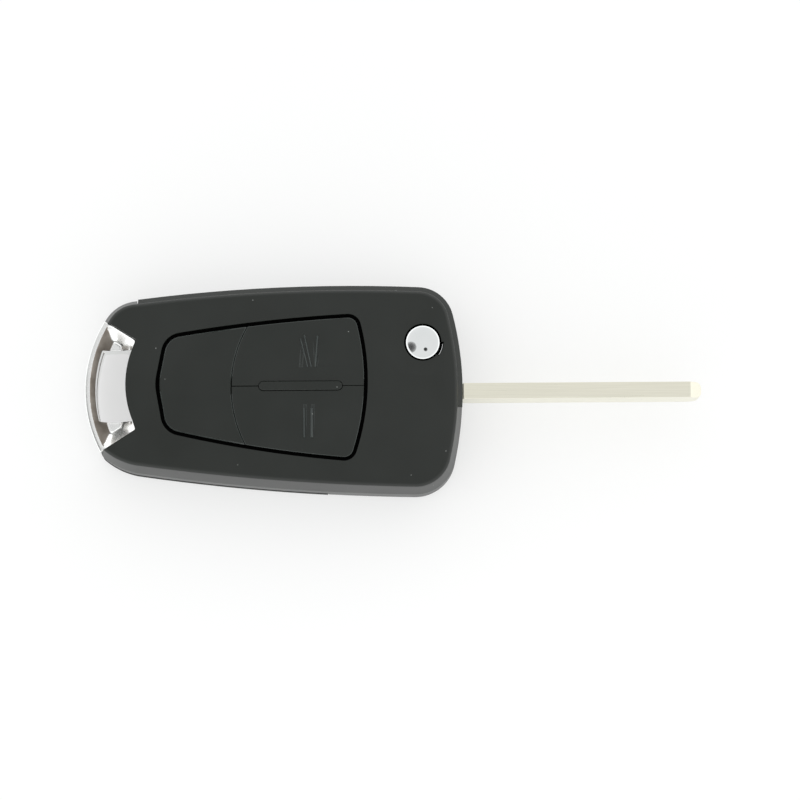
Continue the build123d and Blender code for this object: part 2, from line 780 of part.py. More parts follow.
# Button pad: membrane under the window, plain field at the bow end and ridge between the keys
stem_places = [(unlock_x, unlock_y), (lock_x, lock_y)]
with BuildPart() as button_pad:
    with BuildSketch(Plane.XY.offset(membrane_bottom)):
        add(membrane_plan.sketch)
        with Locations(*stem_places):
            Circle(stem_radius + stem_clearance, mode=Mode.SUBTRACT)
    extrude(amount=pad_membrane)
    with BuildSketch(Plane.XY.offset(membrane_top)):
        add(field_plan.sketch)
    extrude(amount=crest_height - membrane_top)
    add(crown_stock.part.moved(Location((0, 0, -pad_recess))), mode=Mode.INTERSECT)
    chamfer(lying_edges(button_pad, ceiling_height + pad_side_height), pad_edge_chamfer)
    with BuildSketch(Plane.XY.offset(membrane_top)):
        with Locations(((ridge_start_x + ridge_end_x) / 2, key_seam_y)):
            SlotOverall(ridge_length, ridge_width)
    extrude(amount=crown_height(ridge_end_x, key_seam_y) + ridge_stand - membrane_top)
    chamfer(button_pad.edges().group_by(Axis.Z)[-1], ridge_edge_chamfer)
button_pad.part.label = "button_pad"
export_step(button_pad.part, "parts/button_pad.step")

# Outlines pressed into the two keys: a bar that narrows and a straight bar
with BuildSketch() as unlock_icon:
    with Locations((unlock_x, unlock_y)):
        Trapezoid(unlock_icon_width, icon_length, icon_lean, rotation=180)
        Trapezoid(
            unlock_icon_width - 2 * icon_line,
            icon_length + 2 * icon_line,
            icon_lean,
            rotation=180,
            mode=Mode.SUBTRACT,
        )

with BuildSketch() as lock_icon:
    with Locations((lock_x, lock_y)):
        Rectangle(lock_icon_width, icon_length)
        Rectangle(lock_icon_width - 2 * icon_line, icon_length + 2 * icon_line, mode=Mode.SUBTRACT)

# The two keys: caps that follow the crown, each with a stem down to its switch
with BuildPart() as unlock_button:
    with BuildSketch(Plane.XY.offset(key_bottom)):
        add(keys_plan.faces().sort_by(Axis.Y)[-1])
    extrude(amount=crest_height - key_bottom)
    add(crown_stock.part.moved(Location((0, 0, -pad_recess))), mode=Mode.INTERSECT)
    with BuildSketch(Plane.XY.offset(crest_height)):
        add(unlock_icon.sketch)
    extrude(amount=-(crest_height - crown_height(unlock_x, unlock_y) + icon_depth), mode=Mode.SUBTRACT)
    with BuildSketch(Plane.XY.offset(key_bottom)):
        with Locations((unlock_x, unlock_y)):
            Circle(stem_radius)
    extrude(amount=-(key_bottom - plunger_top - seam_gap))
unlock_button.part.label = "unlock_button"
export_step(unlock_button.part, "parts/unlock_button.step")

with BuildPart() as lock_button:
    with BuildSketch(Plane.XY.offset(key_bottom)):
        add(keys_plan.faces().sort_by(Axis.Y)[0])
    extrude(amount=crest_height - key_bottom)
    add(crown_stock.part.moved(Location((0, 0, -pad_recess))), mode=Mode.INTERSECT)
    with BuildSketch(Plane.XY.offset(crest_height)):
        add(lock_icon.sketch)
    extrude(amount=-(crest_height - crown_height(lock_x, lock_y) + icon_depth), mode=Mode.SUBTRACT)
    with BuildSketch(Plane.XY.offset(key_bottom)):
        with Locations((lock_x, lock_y)):
            Circle(stem_radius)
    extrude(amount=-(key_bottom - plunger_top - seam_gap))
lock_button.part.label = "lock_button"
export_step(lock_button.part, "parts/lock_button.step")

# Flip head: barrel on the hinge axis with an arm that grips the blade's tang
bore_bottom = head_bottom + bore_floor
tang_bottom = blade_middle - blade_tang_height / 2
tang_end = blade_root_reach + tang_overrun
with BuildPart() as blade_carrier:
    with BuildSketch(Plane.XY.offset(head_bottom)):
        add(head_plan.sketch)
    extrude(amount=head_top - head_bottom)
    with BuildSketch(Plane.XY.offset(head_top)):
        Circle(collar_radius)
    extrude(amount=collar_height)
    with BuildSketch(Plane.XY.offset(head_bottom)):
        Circle(trunnion_radius)
    extrude(amount=-trunnion_length)
    with BuildSketch(Plane.XY.offset(bore_bottom)):
        Circle(button_flange_radius + bearing_clearance)
    extrude(amount=crest_height, mode=Mode.SUBTRACT)
    with BuildSketch(Plane.XY.offset(tang_bottom)):
        with Locations(((blade_tang_start + tang_end) / 2, -blade_offset)):
            Rectangle(tang_end - blade_tang_start, blade_thickness)
    extrude(amount=blade_tang_height, mode=Mode.SUBTRACT)
    with BuildSketch(Plane.XZ.offset(-arm_spine_side)):
        with Locations((roll_pin_x, blade_middle)):
            Circle(roll_pin_radius)
    extrude(amount=blade_thickness * 2, both=True, mode=Mode.SUBTRACT)
blade_carrier.part.label = "blade_carrier"
export_step(blade_carrier.part, "parts/blade_carrier.step")

# Blade: a plain uncut bar, edge up, with a tang in the arm and a bevelled, rounded tip
with BuildPart() as blade:
    with BuildSketch(Plane.XZ.offset(blade_offset)):
        with BuildLine():
            Polyline(
                (blade_tang_start, tang_bottom),
                (blade_root_reach, tang_bottom),
                (blade_root_reach, blade_bottom),
                (blade_reach - blade_tip_length, blade_bottom),
                (blade_reach, blade_bottom + blade_tip_drop),
                (blade_reach, blade_top - blade_tip_drop),
                (blade_reach - blade_tip_length, blade_top),
                (blade_root_reach, blade_top),
                (blade_root_reach, tang_bottom + blade_tang_height),
                (blade_tang_start, tang_bottom + blade_tang_height),
                close=True,
            )
        make_face()
    extrude(amount=blade_thickness / 2, both=True)
    fillet(blade.edges().filter_by(Axis.Z).sort_by(Axis.X)[-2:], blade_tip_radius)
    with BuildSketch(Plane.XZ.offset(blade_offset)):
        with Locations((roll_pin_x, blade_middle)):
            Circle(roll_pin_radius)
    extrude(amount=blade_thickness, both=True, mode=Mode.SUBTRACT)
    long_edges = blade.edges().filter_by(Axis.X)
    chamfer(long_edges.filter_by(lambda e: e.center().X > blade_root_reach), blade_edge_chamfer)
blade.part.label = "blade"
export_step(blade.part, "parts/blade.step")

# Slotted roll pin through the arm and the tang
with BuildPart() as roll_pin:
    with BuildSketch(Plane.XZ.offset(-arm_belly_side)):
        with Locations((roll_pin_x, blade_middle)):
            Circle(roll_pin_radius)
            Circle(roll_pin_bore, mode=Mode.SUBTRACT)
        with Locations((roll_pin_x, blade_middle + roll_pin_radius)):
            Rectangle(roll_pin_bore / 2, 2 * roll_pin_radius, mode=Mode.SUBTRACT)
    extrude(amount=arm_belly_side - arm_spine_side)
roll_pin.part.label = "roll_pin"
export_step(roll_pin.part, "parts/roll_pin.step")

# Release button: domed chrome cap, locking lug and a flange that runs in the barrel's bore
button_top = button_face - thumb_dish_depth + button_stand + button_dome_height
dome_edge = button_top - button_dome_height
flange_bottom = head_top - button_flange_drop
lug_top = lip_bottom - lug_clearance
with BuildPart() as release_button:
    with BuildSketch(Plane.XZ):
        with BuildLine():
            Polyline(
                (0, button_top),
                (0, flange_bottom),
                (button_flange_radius, flange_bottom),
                (button_flange_radius, flange_bottom + button_flange_height),
                (button_radius, flange_bottom + button_flange_height),
                (button_radius, dome_edge - button_edge_chamfer),
                (button_radius - button_edge_chamfer, dome_edge),
            )
            TangentArc(
                (0, button_top),
                (button_radius - button_edge_chamfer, dome_edge),
                tangent=(1, 0),
            )
        make_face()
    revolve(axis=Axis.Z)
    with BuildSketch(Plane.XY.offset(lug_top)) as lug_plan:
        add(notch_plan.sketch)
        offset(amount=-notch_clearance)
    extrude(amount=-lug_height)
release_button.part.label = "release_button"
export_step(release_button.part, "parts/release_button.step")

# Flip spring: a coil between the floor of the bore and the release button
spring_bottom = bore_bottom + spring_clearance + spring_wire / 2
spring_height = flange_bottom - spring_clearance - spring_wire / 2 - spring_bottom
with BuildPart() as flip_spring:
    with BuildLine() as spring_path:
        Helix(spring_height / spring_turns, spring_height, spring_radius, center=(0, 0, spring_bottom))
    with BuildSketch(Plane(spring_path.line @ 0, z_dir=spring_path.line % 0)):
        RegularPolygon(spring_wire / 2, 6)
    sweep(is_frenet=True)
flip_spring.part.label = "flip_spring"
export_step(flip_spring.part, "parts/flip_spring.step")

# Circuit board, located by the pins of the bosses
with BuildPart() as circuit_board:
    with BuildSketch(Plane.XY.offset(board_bottom)):
        add(bay_plan.sketch)
        offset(amount=-board_clearance)
        with Locations(*tail_bosses, *nose_bosses):
            Circle(boss_pin_radius + boss_board_clearance / 2, mode=Mode.SUBTRACT)
    extrude(amount=board_thickness)
circuit_board.part.label = "circuit_board"
export_step(circuit_board.part, "parts/circuit_board.step")

# Tactile switches and their plungers, one pair below each key
plunger_bottom = plunger_top - plunger_length
bore_depth = plunger_length - plunger_stand + key_travel + seam_gap
for key_name, place in (("unlock", stem_places[0]), ("lock", stem_places[1])):
    with BuildPart() as switch:
        with BuildSketch(Plane.XY.offset(board_top)):
            with Locations(place):
                RectangleRounded(switch_size, switch_size, switch_corner_radius)
        extrude(amount=switch_height)
        with BuildSketch(Plane.XY.offset(switch_top)):
            with Locations(place):
                Circle(plunger_radius + plunger_clearance)
        extrude(amount=-bore_depth, mode=Mode.SUBTRACT)
    switch.part.label = key_name + "_switch"
    export_step(switch.part, "parts/" + key_name + "_switch.step")
    with BuildPart() as plunger:
        with BuildSketch(Plane.XY.offset(plunger_bottom)):
            with Locations(place):
                Circle(plunger_radius)
        extrude(amount=plunger_length)
        chamfer(plunger.edges().group_by(Axis.Z)[-1], plunger_edge_chamfer)
    plunger.part.label = key_name + "_plunger"
    export_step(plunger.part, "parts/" + key_name + "_plunger.step")

# Radio chip and crystal on the board, transponder block in the well
with BuildPart() as radio_chip:
    with BuildSketch(Plane.XY.offset(board_top)):
        with Locations((chip_x, chip_y)):
            Rectangle(chip_size, chip_size)
    extrude(amount=chip_height)
    chamfer(radio_chip.edges().group_by(Axis.Z)[-1], chip_edge_chamfer)
radio_chip.part.label = "radio_chip"
export_step(radio_chip.part, "parts/radio_chip.step")

with BuildPart() as crystal:
    with BuildSketch(Plane.XY.offset(board_top)):
        with Locations((crystal_x, crystal_y)):
            RectangleRounded(crystal_length, crystal_width, crystal_corner_radius)
    extrude(amount=crystal_height)
    chamfer(crystal.edges().group_by(Axis.Z)[-1], crystal_edge_chamfer)
crystal.part.label = "crystal"
export_step(crystal.part, "parts/crystal.step")

with BuildPart() as transponder:
    with BuildSketch(Plane.XY.offset(back_wall + seam_gap)):
        with Locations((transponder_x, transponder_y)):
            Rectangle(transponder_width, transponder_length)
    extrude(amount=transponder_height)
    chamfer(transponder.edges().filter_by(Axis.Y), transponder_edge_chamfer)
transponder.part.label = "transponder"
export_step(transponder.part, "parts/transponder.step")

# Coin cell: cup with its narrower cap facing the board
cell_top = cell_bottom + cell_height
with BuildPart() as coin_cell:
    with BuildSketch(Plane.XY.offset(cell_bottom)):
        with Locations((cell_x, cell_y)):
            Circle(cell_radius)
    extrude(amount=cell_height - cell_step)
    chamfer(coin_cell.edges().group_by(Axis.Z)[0], cell_step)
    with BuildSketch(Plane.XY.offset(cell_top)):
        with Locations((cell_x, cell_y)):
            Circle(cell_radius - cell_cap_inset)
    extrude(amount=-cell_step)
coin_cell.part.label = "coin_cell"
export_step(coin_cell.part, "parts/coin_cell.step")

# Positive clip: a curved blade against the cell's rim with a foot under the board
clip_inner = cell_radius + contact_gap
clip_outer = clip_inner + contact_thickness
clip_half = math.radians(clip_sweep / 2)
clip_reach = 2 * cell_radius
with BuildSketch() as clip_sector:
    with BuildLine():
        Polyline(
            (cell_x, cell_y),
            (cell_x - clip_reach * math.cos(clip_half), cell_y + clip_reach * math.sin(clip_half)),
            (cell_x - clip_reach * math.cos(clip_half), cell_y - clip_reach * math.sin(clip_half)),
            close=True,
        )
    make_face()
with BuildPart() as positive_contact:
    with BuildSketch(Plane.XY.offset(deck_top + clip_height_gap)):
        with Locations((cell_x, cell_y)):
            Circle(clip_outer)
            Circle(clip_inner, mode=Mode.SUBTRACT)
        add(clip_sector.sketch, mode=Mode.INTERSECT)
    extrude(amount=board_bottom - deck_top - clip_height_gap)
    with BuildSketch(Plane.XY.offset(board_bottom)):
        with Locations((cell_x, cell_y)):
            Circle(clip_outer + clip_foot)
            Circle(clip_inner, mode=Mode.SUBTRACT)
        add(clip_sector.sketch, mode=Mode.INTERSECT)
    extrude(amount=-contact_thickness)
positive_contact.part.label = "positive_contact"
export_step(positive_contact.part, "parts/positive_contact.step")

# Negative contact: a leaf that reaches down from the board to the cell's cap
leaf_start = cell_x + contact_foot + contact_run / 2
leaf_top = board_bottom - contact_thickness / 2
leaf_touch = cell_top + contact_gap + contact_thickness / 2
with BuildPart() as negative_contact:
    with BuildSketch(Plane.XZ.offset(-cell_y)):
        with BuildLine():
            Polyline(
                (leaf_start, leaf_top),
                (leaf_start - contact_foot, leaf_top),
                (leaf_start - contact_foot - contact_touch_run, leaf_touch),
                (leaf_start - contact_foot - contact_run, leaf_touch + contact_thickness * 2),
            )
        trace(line_width=contact_thickness)
    extrude(amount=contact_width / 2, both=True)
negative_contact.part.label = "negative_contact"
export_step(negative_contact.part, "parts/negative_contact.step")

# Tray over the board that carries the pad: a plate with a skirt that stands on the board
with BuildSketch() as tray_plan:
    add(bay_plan.sketch)
    offset(amount=-tray_clearance)
    tray_start = tail_bosses[0][0] + boss_radius + boss_board_clearance
    tray_end = nose_bosses[0][0] - boss_radius - boss_board_clearance
    with Locations(((tray_start + tray_end) / 2, crest_y)):
        Rectangle(tray_end - tray_start, key_length, mode=Mode.INTERSECT)

with BuildPart() as board_tray:
    with BuildSketch(Plane.XY.offset(board_top + tray_seat_gap)):
        add(tray_plan.sketch)
    extrude(amount=tray_top - board_top - tray_seat_gap)
    with BuildSketch(Plane.XY.offset(board_top + tray_seat_gap)):
        add(tray_plan.sketch)
        offset(amount=-tray_wall)
    extrude(amount=tray_top - tray_plate - board_top - tray_seat_gap, mode=Mode.SUBTRACT)
    with BuildSketch(Plane.XY.offset(tray_top)):
        with Locations(*stem_places):
            Circle(stem_radius + stem_clearance)
    extrude(amount=-tray_plate, mode=Mode.SUBTRACT)
board_tray.part.label = "board_tray"
export_step(board_tray.part, "parts/board_tray.step")
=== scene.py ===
"""Flip key remote shell, open, lying on its back on a pale table.

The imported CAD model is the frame: every piece made here sits in it, in metres. Sizes below are in
millimetres and are turned into metres by the mm() helper.
"""

import json
import logging
import math
from dataclasses import dataclass, field
from enum import Enum
from typing import Callable, Sequence

import bmesh
import bpy
from mathutils import Matrix, Vector


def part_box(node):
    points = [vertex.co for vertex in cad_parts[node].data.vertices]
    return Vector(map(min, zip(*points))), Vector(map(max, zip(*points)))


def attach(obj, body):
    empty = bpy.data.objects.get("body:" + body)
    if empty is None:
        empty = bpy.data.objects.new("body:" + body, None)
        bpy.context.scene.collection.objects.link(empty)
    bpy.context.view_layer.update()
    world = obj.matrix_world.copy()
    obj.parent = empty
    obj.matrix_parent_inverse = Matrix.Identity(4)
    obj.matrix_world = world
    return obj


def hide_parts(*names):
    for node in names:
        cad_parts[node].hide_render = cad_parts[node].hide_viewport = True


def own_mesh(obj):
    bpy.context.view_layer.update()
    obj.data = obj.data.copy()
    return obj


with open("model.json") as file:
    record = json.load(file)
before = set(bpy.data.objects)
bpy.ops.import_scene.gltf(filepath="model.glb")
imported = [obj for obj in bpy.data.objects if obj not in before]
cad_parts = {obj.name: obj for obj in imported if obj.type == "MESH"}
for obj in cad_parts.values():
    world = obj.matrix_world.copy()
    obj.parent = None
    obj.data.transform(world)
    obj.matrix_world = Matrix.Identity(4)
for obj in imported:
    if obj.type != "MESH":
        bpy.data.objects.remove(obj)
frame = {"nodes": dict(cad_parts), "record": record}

log = logging.getLogger("flip_key")
logging.basicConfig(level=logging.INFO, format="%(name)s: %(message)s")

NODES = frame["nodes"]
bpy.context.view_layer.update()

Triple = tuple[float, float, float]
Socket = bpy.types.NodeSocket
Tree = bpy.types.ShaderNodeTree

MM_PER_METRE = 1000.0
FACING = 0.9  # least part of a normal along a direction, for a face that looks that way
SAME_PLACE = 1e-6  # metres between corners that count as level
NOISE_RANGE = (0.3, 0.7)  # stretch of a noise value over which a tone changes


def mm(*values: float) -> float | Vector:
    """Turn millimetres into metres.

    Args:
        *values: One length, or the three parts of a place.

    Returns:
        A number for one length, otherwise a vector.
    """
    if len(values) == 1:
        return values[0] / MM_PER_METRE
    return Vector(value / MM_PER_METRE for value in values)


def in_mm(corners: Sequence[Vector]) -> list[Vector]:
    """Turn the corners of a box from metres into millimetres."""
    return [corner * MM_PER_METRE for corner in corners]


class Body(str, Enum):
    """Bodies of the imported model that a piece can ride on."""

    HOUSING = "housing"
    FLIP_HEAD = "flip_head"
    RELEASE = "release"
    UNLOCK_KEY = "unlock_key"
    LOCK_KEY = "lock_key"


class Slot(str, Enum):
    """Material slots of the record."""

    CASE = "case_plastic"
    PAD = "pad_plastic"
    CHROME = "chrome"
    BLADE = "blade_nickel"
    CARRIER = "carrier_black"
    SPRING = "spring_steel"
    BOARD = "board_green"
    SWITCH = "switch_body"
    PLUNGER = "plunger_black"
    CHIP = "chip_black"
    CRYSTAL = "crystal_can"
    TRANSPONDER = "transponder_carbon"
    CELL = "cell_steel"
    CONTACT = "contact_brass"
    TRAY = "tray_plastic"


def math_node(tree: Tree, operation: str, first: Socket, second: Socket) -> Socket:
    """Work out one value from two.

    Args:
        tree: Node tree that the node goes into.
        operation: Blender's name for the operation.
        first: Socket with the first value.
        second: Socket with the second value.

    Returns:
        The socket with the result.
    """
    made = tree.nodes.new("ShaderNodeMath")
    made.operation = operation
    tree.links.new(first, made.inputs[0])
    tree.links.new(second, made.inputs[1])
    return made.outputs[0]


class NodeGroups:
    """Shader node groups that several finishes share, each built once."""

    FINE_DETAIL = 3.0
    FINE_ROUGHNESS = 0.6
    DRIFT_DETAIL = 2.0
    LINE_DETAIL = 4.0

    def __init__(self) -> None:
        """Start with no groups built."""
        self._built: dict[str, Tree] = {}

    def _new(
        self, name: str, inputs: dict[str, float], outputs: Sequence[str]
    ) -> tuple[Tree, bpy.types.ShaderNode, bpy.types.ShaderNode]:
        """Make an empty group.

        Args:
            name: Name of the group.
            inputs: Input socket names and their default values.
            outputs: Output socket names.

        Returns:
            The tree, its input node and its output node.
        """
        tree = bpy.data.node_groups.new(name, "ShaderNodeTree")
        for label, value in inputs.items():
            socket = tree.interface.new_socket(label, in_out="INPUT", socket_type="NodeSocketFloat")
            socket.default_value = value
        for label in outputs:
            tree.interface.new_socket(label, in_out="OUTPUT", socket_type="NodeSocketFloat")
        entry = tree.nodes.new("NodeGroupInput")
        leave = tree.nodes.new("NodeGroupOutput")
        return tree, entry, leave

    def grain(self) -> Tree:
        """Fine moulded grain: a height and a slow drift of tone.

        Returns:
            The group, with inputs Scale and Drift Scale and outputs Height and Drift.
        """
        if "grain" in self._built:
            return self._built["grain"]
        tree, entry, leave = self._new(
            "Moulded grain", {"Scale": 4000.0, "Drift Scale": 90.0}, ("Height", "Drift")
        )
        place = tree.nodes.new("ShaderNodeTexCoord")
        fine = tree.nodes.new("ShaderNodeTexNoise")
        fine.inputs["Detail"].default_value = self.FINE_DETAIL
        fine.inputs["Roughness"].default_value = self.FINE_ROUGHNESS
        drift = tree.nodes.new("ShaderNodeTexNoise")
        drift.inputs["Detail"].default_value = self.DRIFT_DETAIL
        tree.links.new(place.outputs["Object"], fine.inputs["Vector"])
        tree.links.new(place.outputs["Object"], drift.inputs["Vector"])
        tree.links.new(entry.outputs["Scale"], fine.inputs["Scale"])
        tree.links.new(entry.outputs["Drift Scale"], drift.inputs["Scale"])
        tree.links.new(fine.outputs["Fac"], leave.inputs["Height"])
        tree.links.new(drift.outputs["Fac"], leave.inputs["Drift"])
        self._built["grain"] = tree
        return tree

    def specks(self) -> Tree:
        """Dust specks: small round dots on a few of the cells of a Voronoi pattern.

        Returns:
            The group, with inputs Scale, Size and Share and the output Mask.
        """
        if "specks" in self._built:
            return self._built["specks"]
        tree, entry, leave = self._new(
            "Dust specks", {"Scale": 350.0, "Size": 0.05, "Share": 0.9}, ("Mask",)
        )
        place = tree.nodes.new("ShaderNodeTexCoord")
        cells = tree.nodes.new("ShaderNodeTexVoronoi")
        tree.links.new(place.outputs["Object"], cells.inputs["Vector"])
        tree.links.new(entry.outputs["Scale"], cells.inputs["Scale"])
        near = math_node(tree, "LESS_THAN", cells.outputs["Distance"], entry.outputs["Size"])
        split = tree.nodes.new("ShaderNodeSeparateColor")
        tree.links.new(cells.outputs["Color"], split.inputs["Color"])
        chosen = math_node(tree, "GREATER_THAN", split.outputs["Red"], entry.outputs["Share"])
        tree.links.new(math_node(tree, "MULTIPLY", near, chosen), leave.inputs["Mask"])
        self._built["specks"] = tree
        return tree

    def brushing(self) -> Tree:
        """Fine lines along X, as a polishing wheel leaves them on a blade.

        Returns:
            The group, with inputs Across and Along and the output Lines.
        """
        if "brushing" in self._built:
            return self._built["brushing"]
        tree, entry, leave = self._new(
            "Polishing lines", {"Across": 9000.0, "Along": 120.0}, ("Lines",)
        )
        place = tree.nodes.new("ShaderNodeTexCoord")
        scale = tree.nodes.new("ShaderNodeCombineXYZ")
        tree.links.new(entry.outputs["Along"], scale.inputs["X"])
        tree.links.new(entry.outputs["Across"], scale.inputs["Y"])
        tree.links.new(entry.outputs["Across"], scale.inputs["Z"])
        stretch = tree.nodes.new("ShaderNodeVectorMath")
        stretch.operation = "MULTIPLY"
        tree.links.new(place.outputs["Object"], stretch.inputs[0])
        tree.links.new(scale.outputs[0], stretch.inputs[1])
        lines = tree.nodes.new("ShaderNodeTexNoise")
        lines.inputs["Scale"].default_value = 1.0
        lines.inputs["Detail"].default_value = self.LINE_DETAIL
        tree.links.new(stretch.outputs[0], lines.inputs["Vector"])
        tree.links.new(lines.outputs["Fac"], leave.inputs["Lines"])
        self._built["brushing"] = tree
        return tree


GROUPS = NodeGroups()


@dataclass
class MaterialSketch:
    """A material in the making, with the Principled shader at hand."""

    name: str
    material: bpy.types.Material = field(init=False)
    shader: bpy.types.ShaderNode = field(init=False)

    def __post_init__(self) -> None:
        """Make the material and find its shader."""
        self.material = bpy.data.materials.new(self.name)
        self.material.use_nodes = True
        self.shader = self.material.node_tree.nodes["Principled BSDF"]

    def node(self, kind: str, **settings) -> bpy.types.ShaderNode:
        """Add a node.

        Args:
            kind: Blender's name for the kind of node.
            **settings: Attributes to set on it.

        Returns:
            The new node.
        """
        made = self.material.node_tree.nodes.new(kind)
        for label, value in settings.items():
            setattr(made, label, value)
        return made

    def group(self, tree: Tree, **values: float) -> bpy.types.ShaderNode:
        """Place a node group with its own values.

        Args:
            tree: The group.
            **values: Input values, with underscores for the spaces in their names.

        Returns:
            The group node.
        """
        made = self.node("ShaderNodeGroup")
        made.node_tree = tree
        for label, value in values.items():
            made.inputs[label.replace("_", " ")].default_value = value
        return made

    def link(self, source: Socket, target: Socket) -> None:
        """Join two sockets."""
        self.material.node_tree.links.new(source, target)

    def ramp(self, source: Socket, low: Triple, high: Triple) -> Socket:
        """Spread a noise value over two colours.

        Args:
            source: Socket with the value.
            low: Linear colour at and below the start of NOISE_RANGE.
            high: Linear colour at and above its end.

        Returns:
            The colour socket.
        """
        made = self.node("ShaderNodeValToRGB")
        for element, place, tint in zip(made.color_ramp.elements, NOISE_RANGE, (low, high)):
            element.position = place
            element.color = (*tint, 1.0)
        self.link(source, made.inputs["Fac"])
        return made.outputs["Color"]

    def spread(self, source: Socket, low: float, high: float) -> Socket:
        """Map a value from 0..1 to another range.

        Args:
            source: Socket with the value.
            low: What 0 becomes.
            high: What 1 becomes.

        Returns:
            The socket with the mapped value.
        """
        made = self.node("ShaderNodeMapRange")
        made.inputs["To Min"].default_value = low
        made.inputs["To Max"].default_value = high
        self.link(source, made.inputs["Value"])
        return made.outputs["Result"]

    def roughen(self, source: Socket, low: float, high: float) -> None:
        """Let a value set the roughness, between two limits."""
        self.link(self.spread(source, low, high), self.shader.inputs["Roughness"])

    def tint(self, source: Socket, dark: Triple, light: Triple) -> None:
        """Let a noise value set the base colour, between two colours."""
        self.link(self.ramp(source, dark, light), self.shader.inputs["Base Color"])

    def bump(self, source: Socket, depth: float) -> None:
        """Raise the surface by a height map.

        Args:
            source: Socket with the height.
            depth: Height of its full range, in millimetres.
        """
        made = self.node("ShaderNodeBump")
        made.inputs["Distance"].default_value = mm(depth)
        made.inputs["Strength"].default_value = 1.0
        self.link(source, made.inputs["Height"])
        self.link(made.outputs["Normal"], self.shader.inputs["Normal"])


@dataclass(frozen=True)
class MouldedPlastic:
    """Injection-moulded plastic with a fine grain, slow drift of tone and a few dust specks."""

    name: str
    dark: Triple
    light: Triple
    rough_low: float = 0.34
    rough_high: float = 0.42
    grain_scale: float = 5000.0
    grain_depth: float = 0.004
    drift_scale: float = 110.0
    speck_scale: float = 420.0
    speck_size: float = 0.045
    speck_share: float = 0.68
    speck_tint: Triple = (0.24, 0.25, 0.24)
    gloss: float = 0.5

    def material(self) -> bpy.types.Material:
        """Build the material.

        Returns:
            The finished material.
        """
        sketch = MaterialSketch(self.name)
        sketch.shader.inputs["Specular IOR Level"].default_value = self.gloss
        grain = sketch.group(GROUPS.grain(), Scale=self.grain_scale, Drift_Scale=self.drift_scale)
        tone = sketch.ramp(grain.outputs["Drift"], self.dark, self.light)
        specks = sketch.group(
            GROUPS.specks(), Scale=self.speck_scale, Size=self.speck_size, Share=self.speck_share
        )
        dusty = sketch.node("ShaderNodeMix", data_type="RGBA")
        dusty.inputs["B"].default_value = (*self.speck_tint, 1.0)
        sketch.link(specks.outputs["Mask"], dusty.inputs["Factor"])
        sketch.link(tone, dusty.inputs["A"])
        sketch.link(dusty.outputs["Result"], sketch.shader.inputs["Base Color"])
        sketch.roughen(grain.outputs["Drift"], self.rough_low, self.rough_high)
        sketch.bump(grain.outputs["Height"], self.grain_depth)
        return sketch.material


@dataclass(frozen=True)
class PlatedMetal:
    """Plated or polished metal with a slight drift of gloss."""

    name: str
    dark: Triple
    light: Triple
    rough_low: float
    rough_high: float
    ripple_scale: float = 700.0
    ripple_depth: float = 0.001
    metal: float = 1.0
    drift_scale: float = 150.0

    def material(self) -> bpy.types.Material:
        """Build the material.

        Returns:
            The finished material.
        """
        sketch = MaterialSketch(self.name)
        sketch.shader.inputs["Metallic"].default_value = self.metal
        grain = sketch.group(GROUPS.grain(), Scale=self.ripple_scale, Drift_Scale=self.drift_scale)
        sketch.tint(grain.outputs["Drift"], self.dark, self.light)
        sketch.roughen(grain.outputs["Drift"], self.rough_low, self.rough_high)
        sketch.bump(grain.outputs["Height"], self.ripple_depth)
        return sketch.material


@dataclass(frozen=True)
class BrushedMetal:
    """Nickel-coloured metal with polishing lines along the blade."""

    name: str
    dark: Triple
    light: Triple
    rough_low: float
    rough_high: float
    lines_across: float = 6000.0
    lines_along: float = 90.0
    line_depth: float = 0.0015

    def material(self) -> bpy.types.Material:
        """Build the material.

        Returns:
            The finished material.
        """
        sketch = MaterialSketch(self.name)
        sketch.shader.inputs["Metallic"].default_value = 1.0
        lines = sketch.group(GROUPS.brushing(), Across=self.lines_across, Along=self.lines_along)
        sketch.tint(lines.outputs["Lines"], self.dark, self.light)
        sketch.roughen(lines.outputs["Lines"], self.rough_low, self.rough_high)
        sketch.bump(lines.outputs["Lines"], self.line_depth)
        return sketch.material


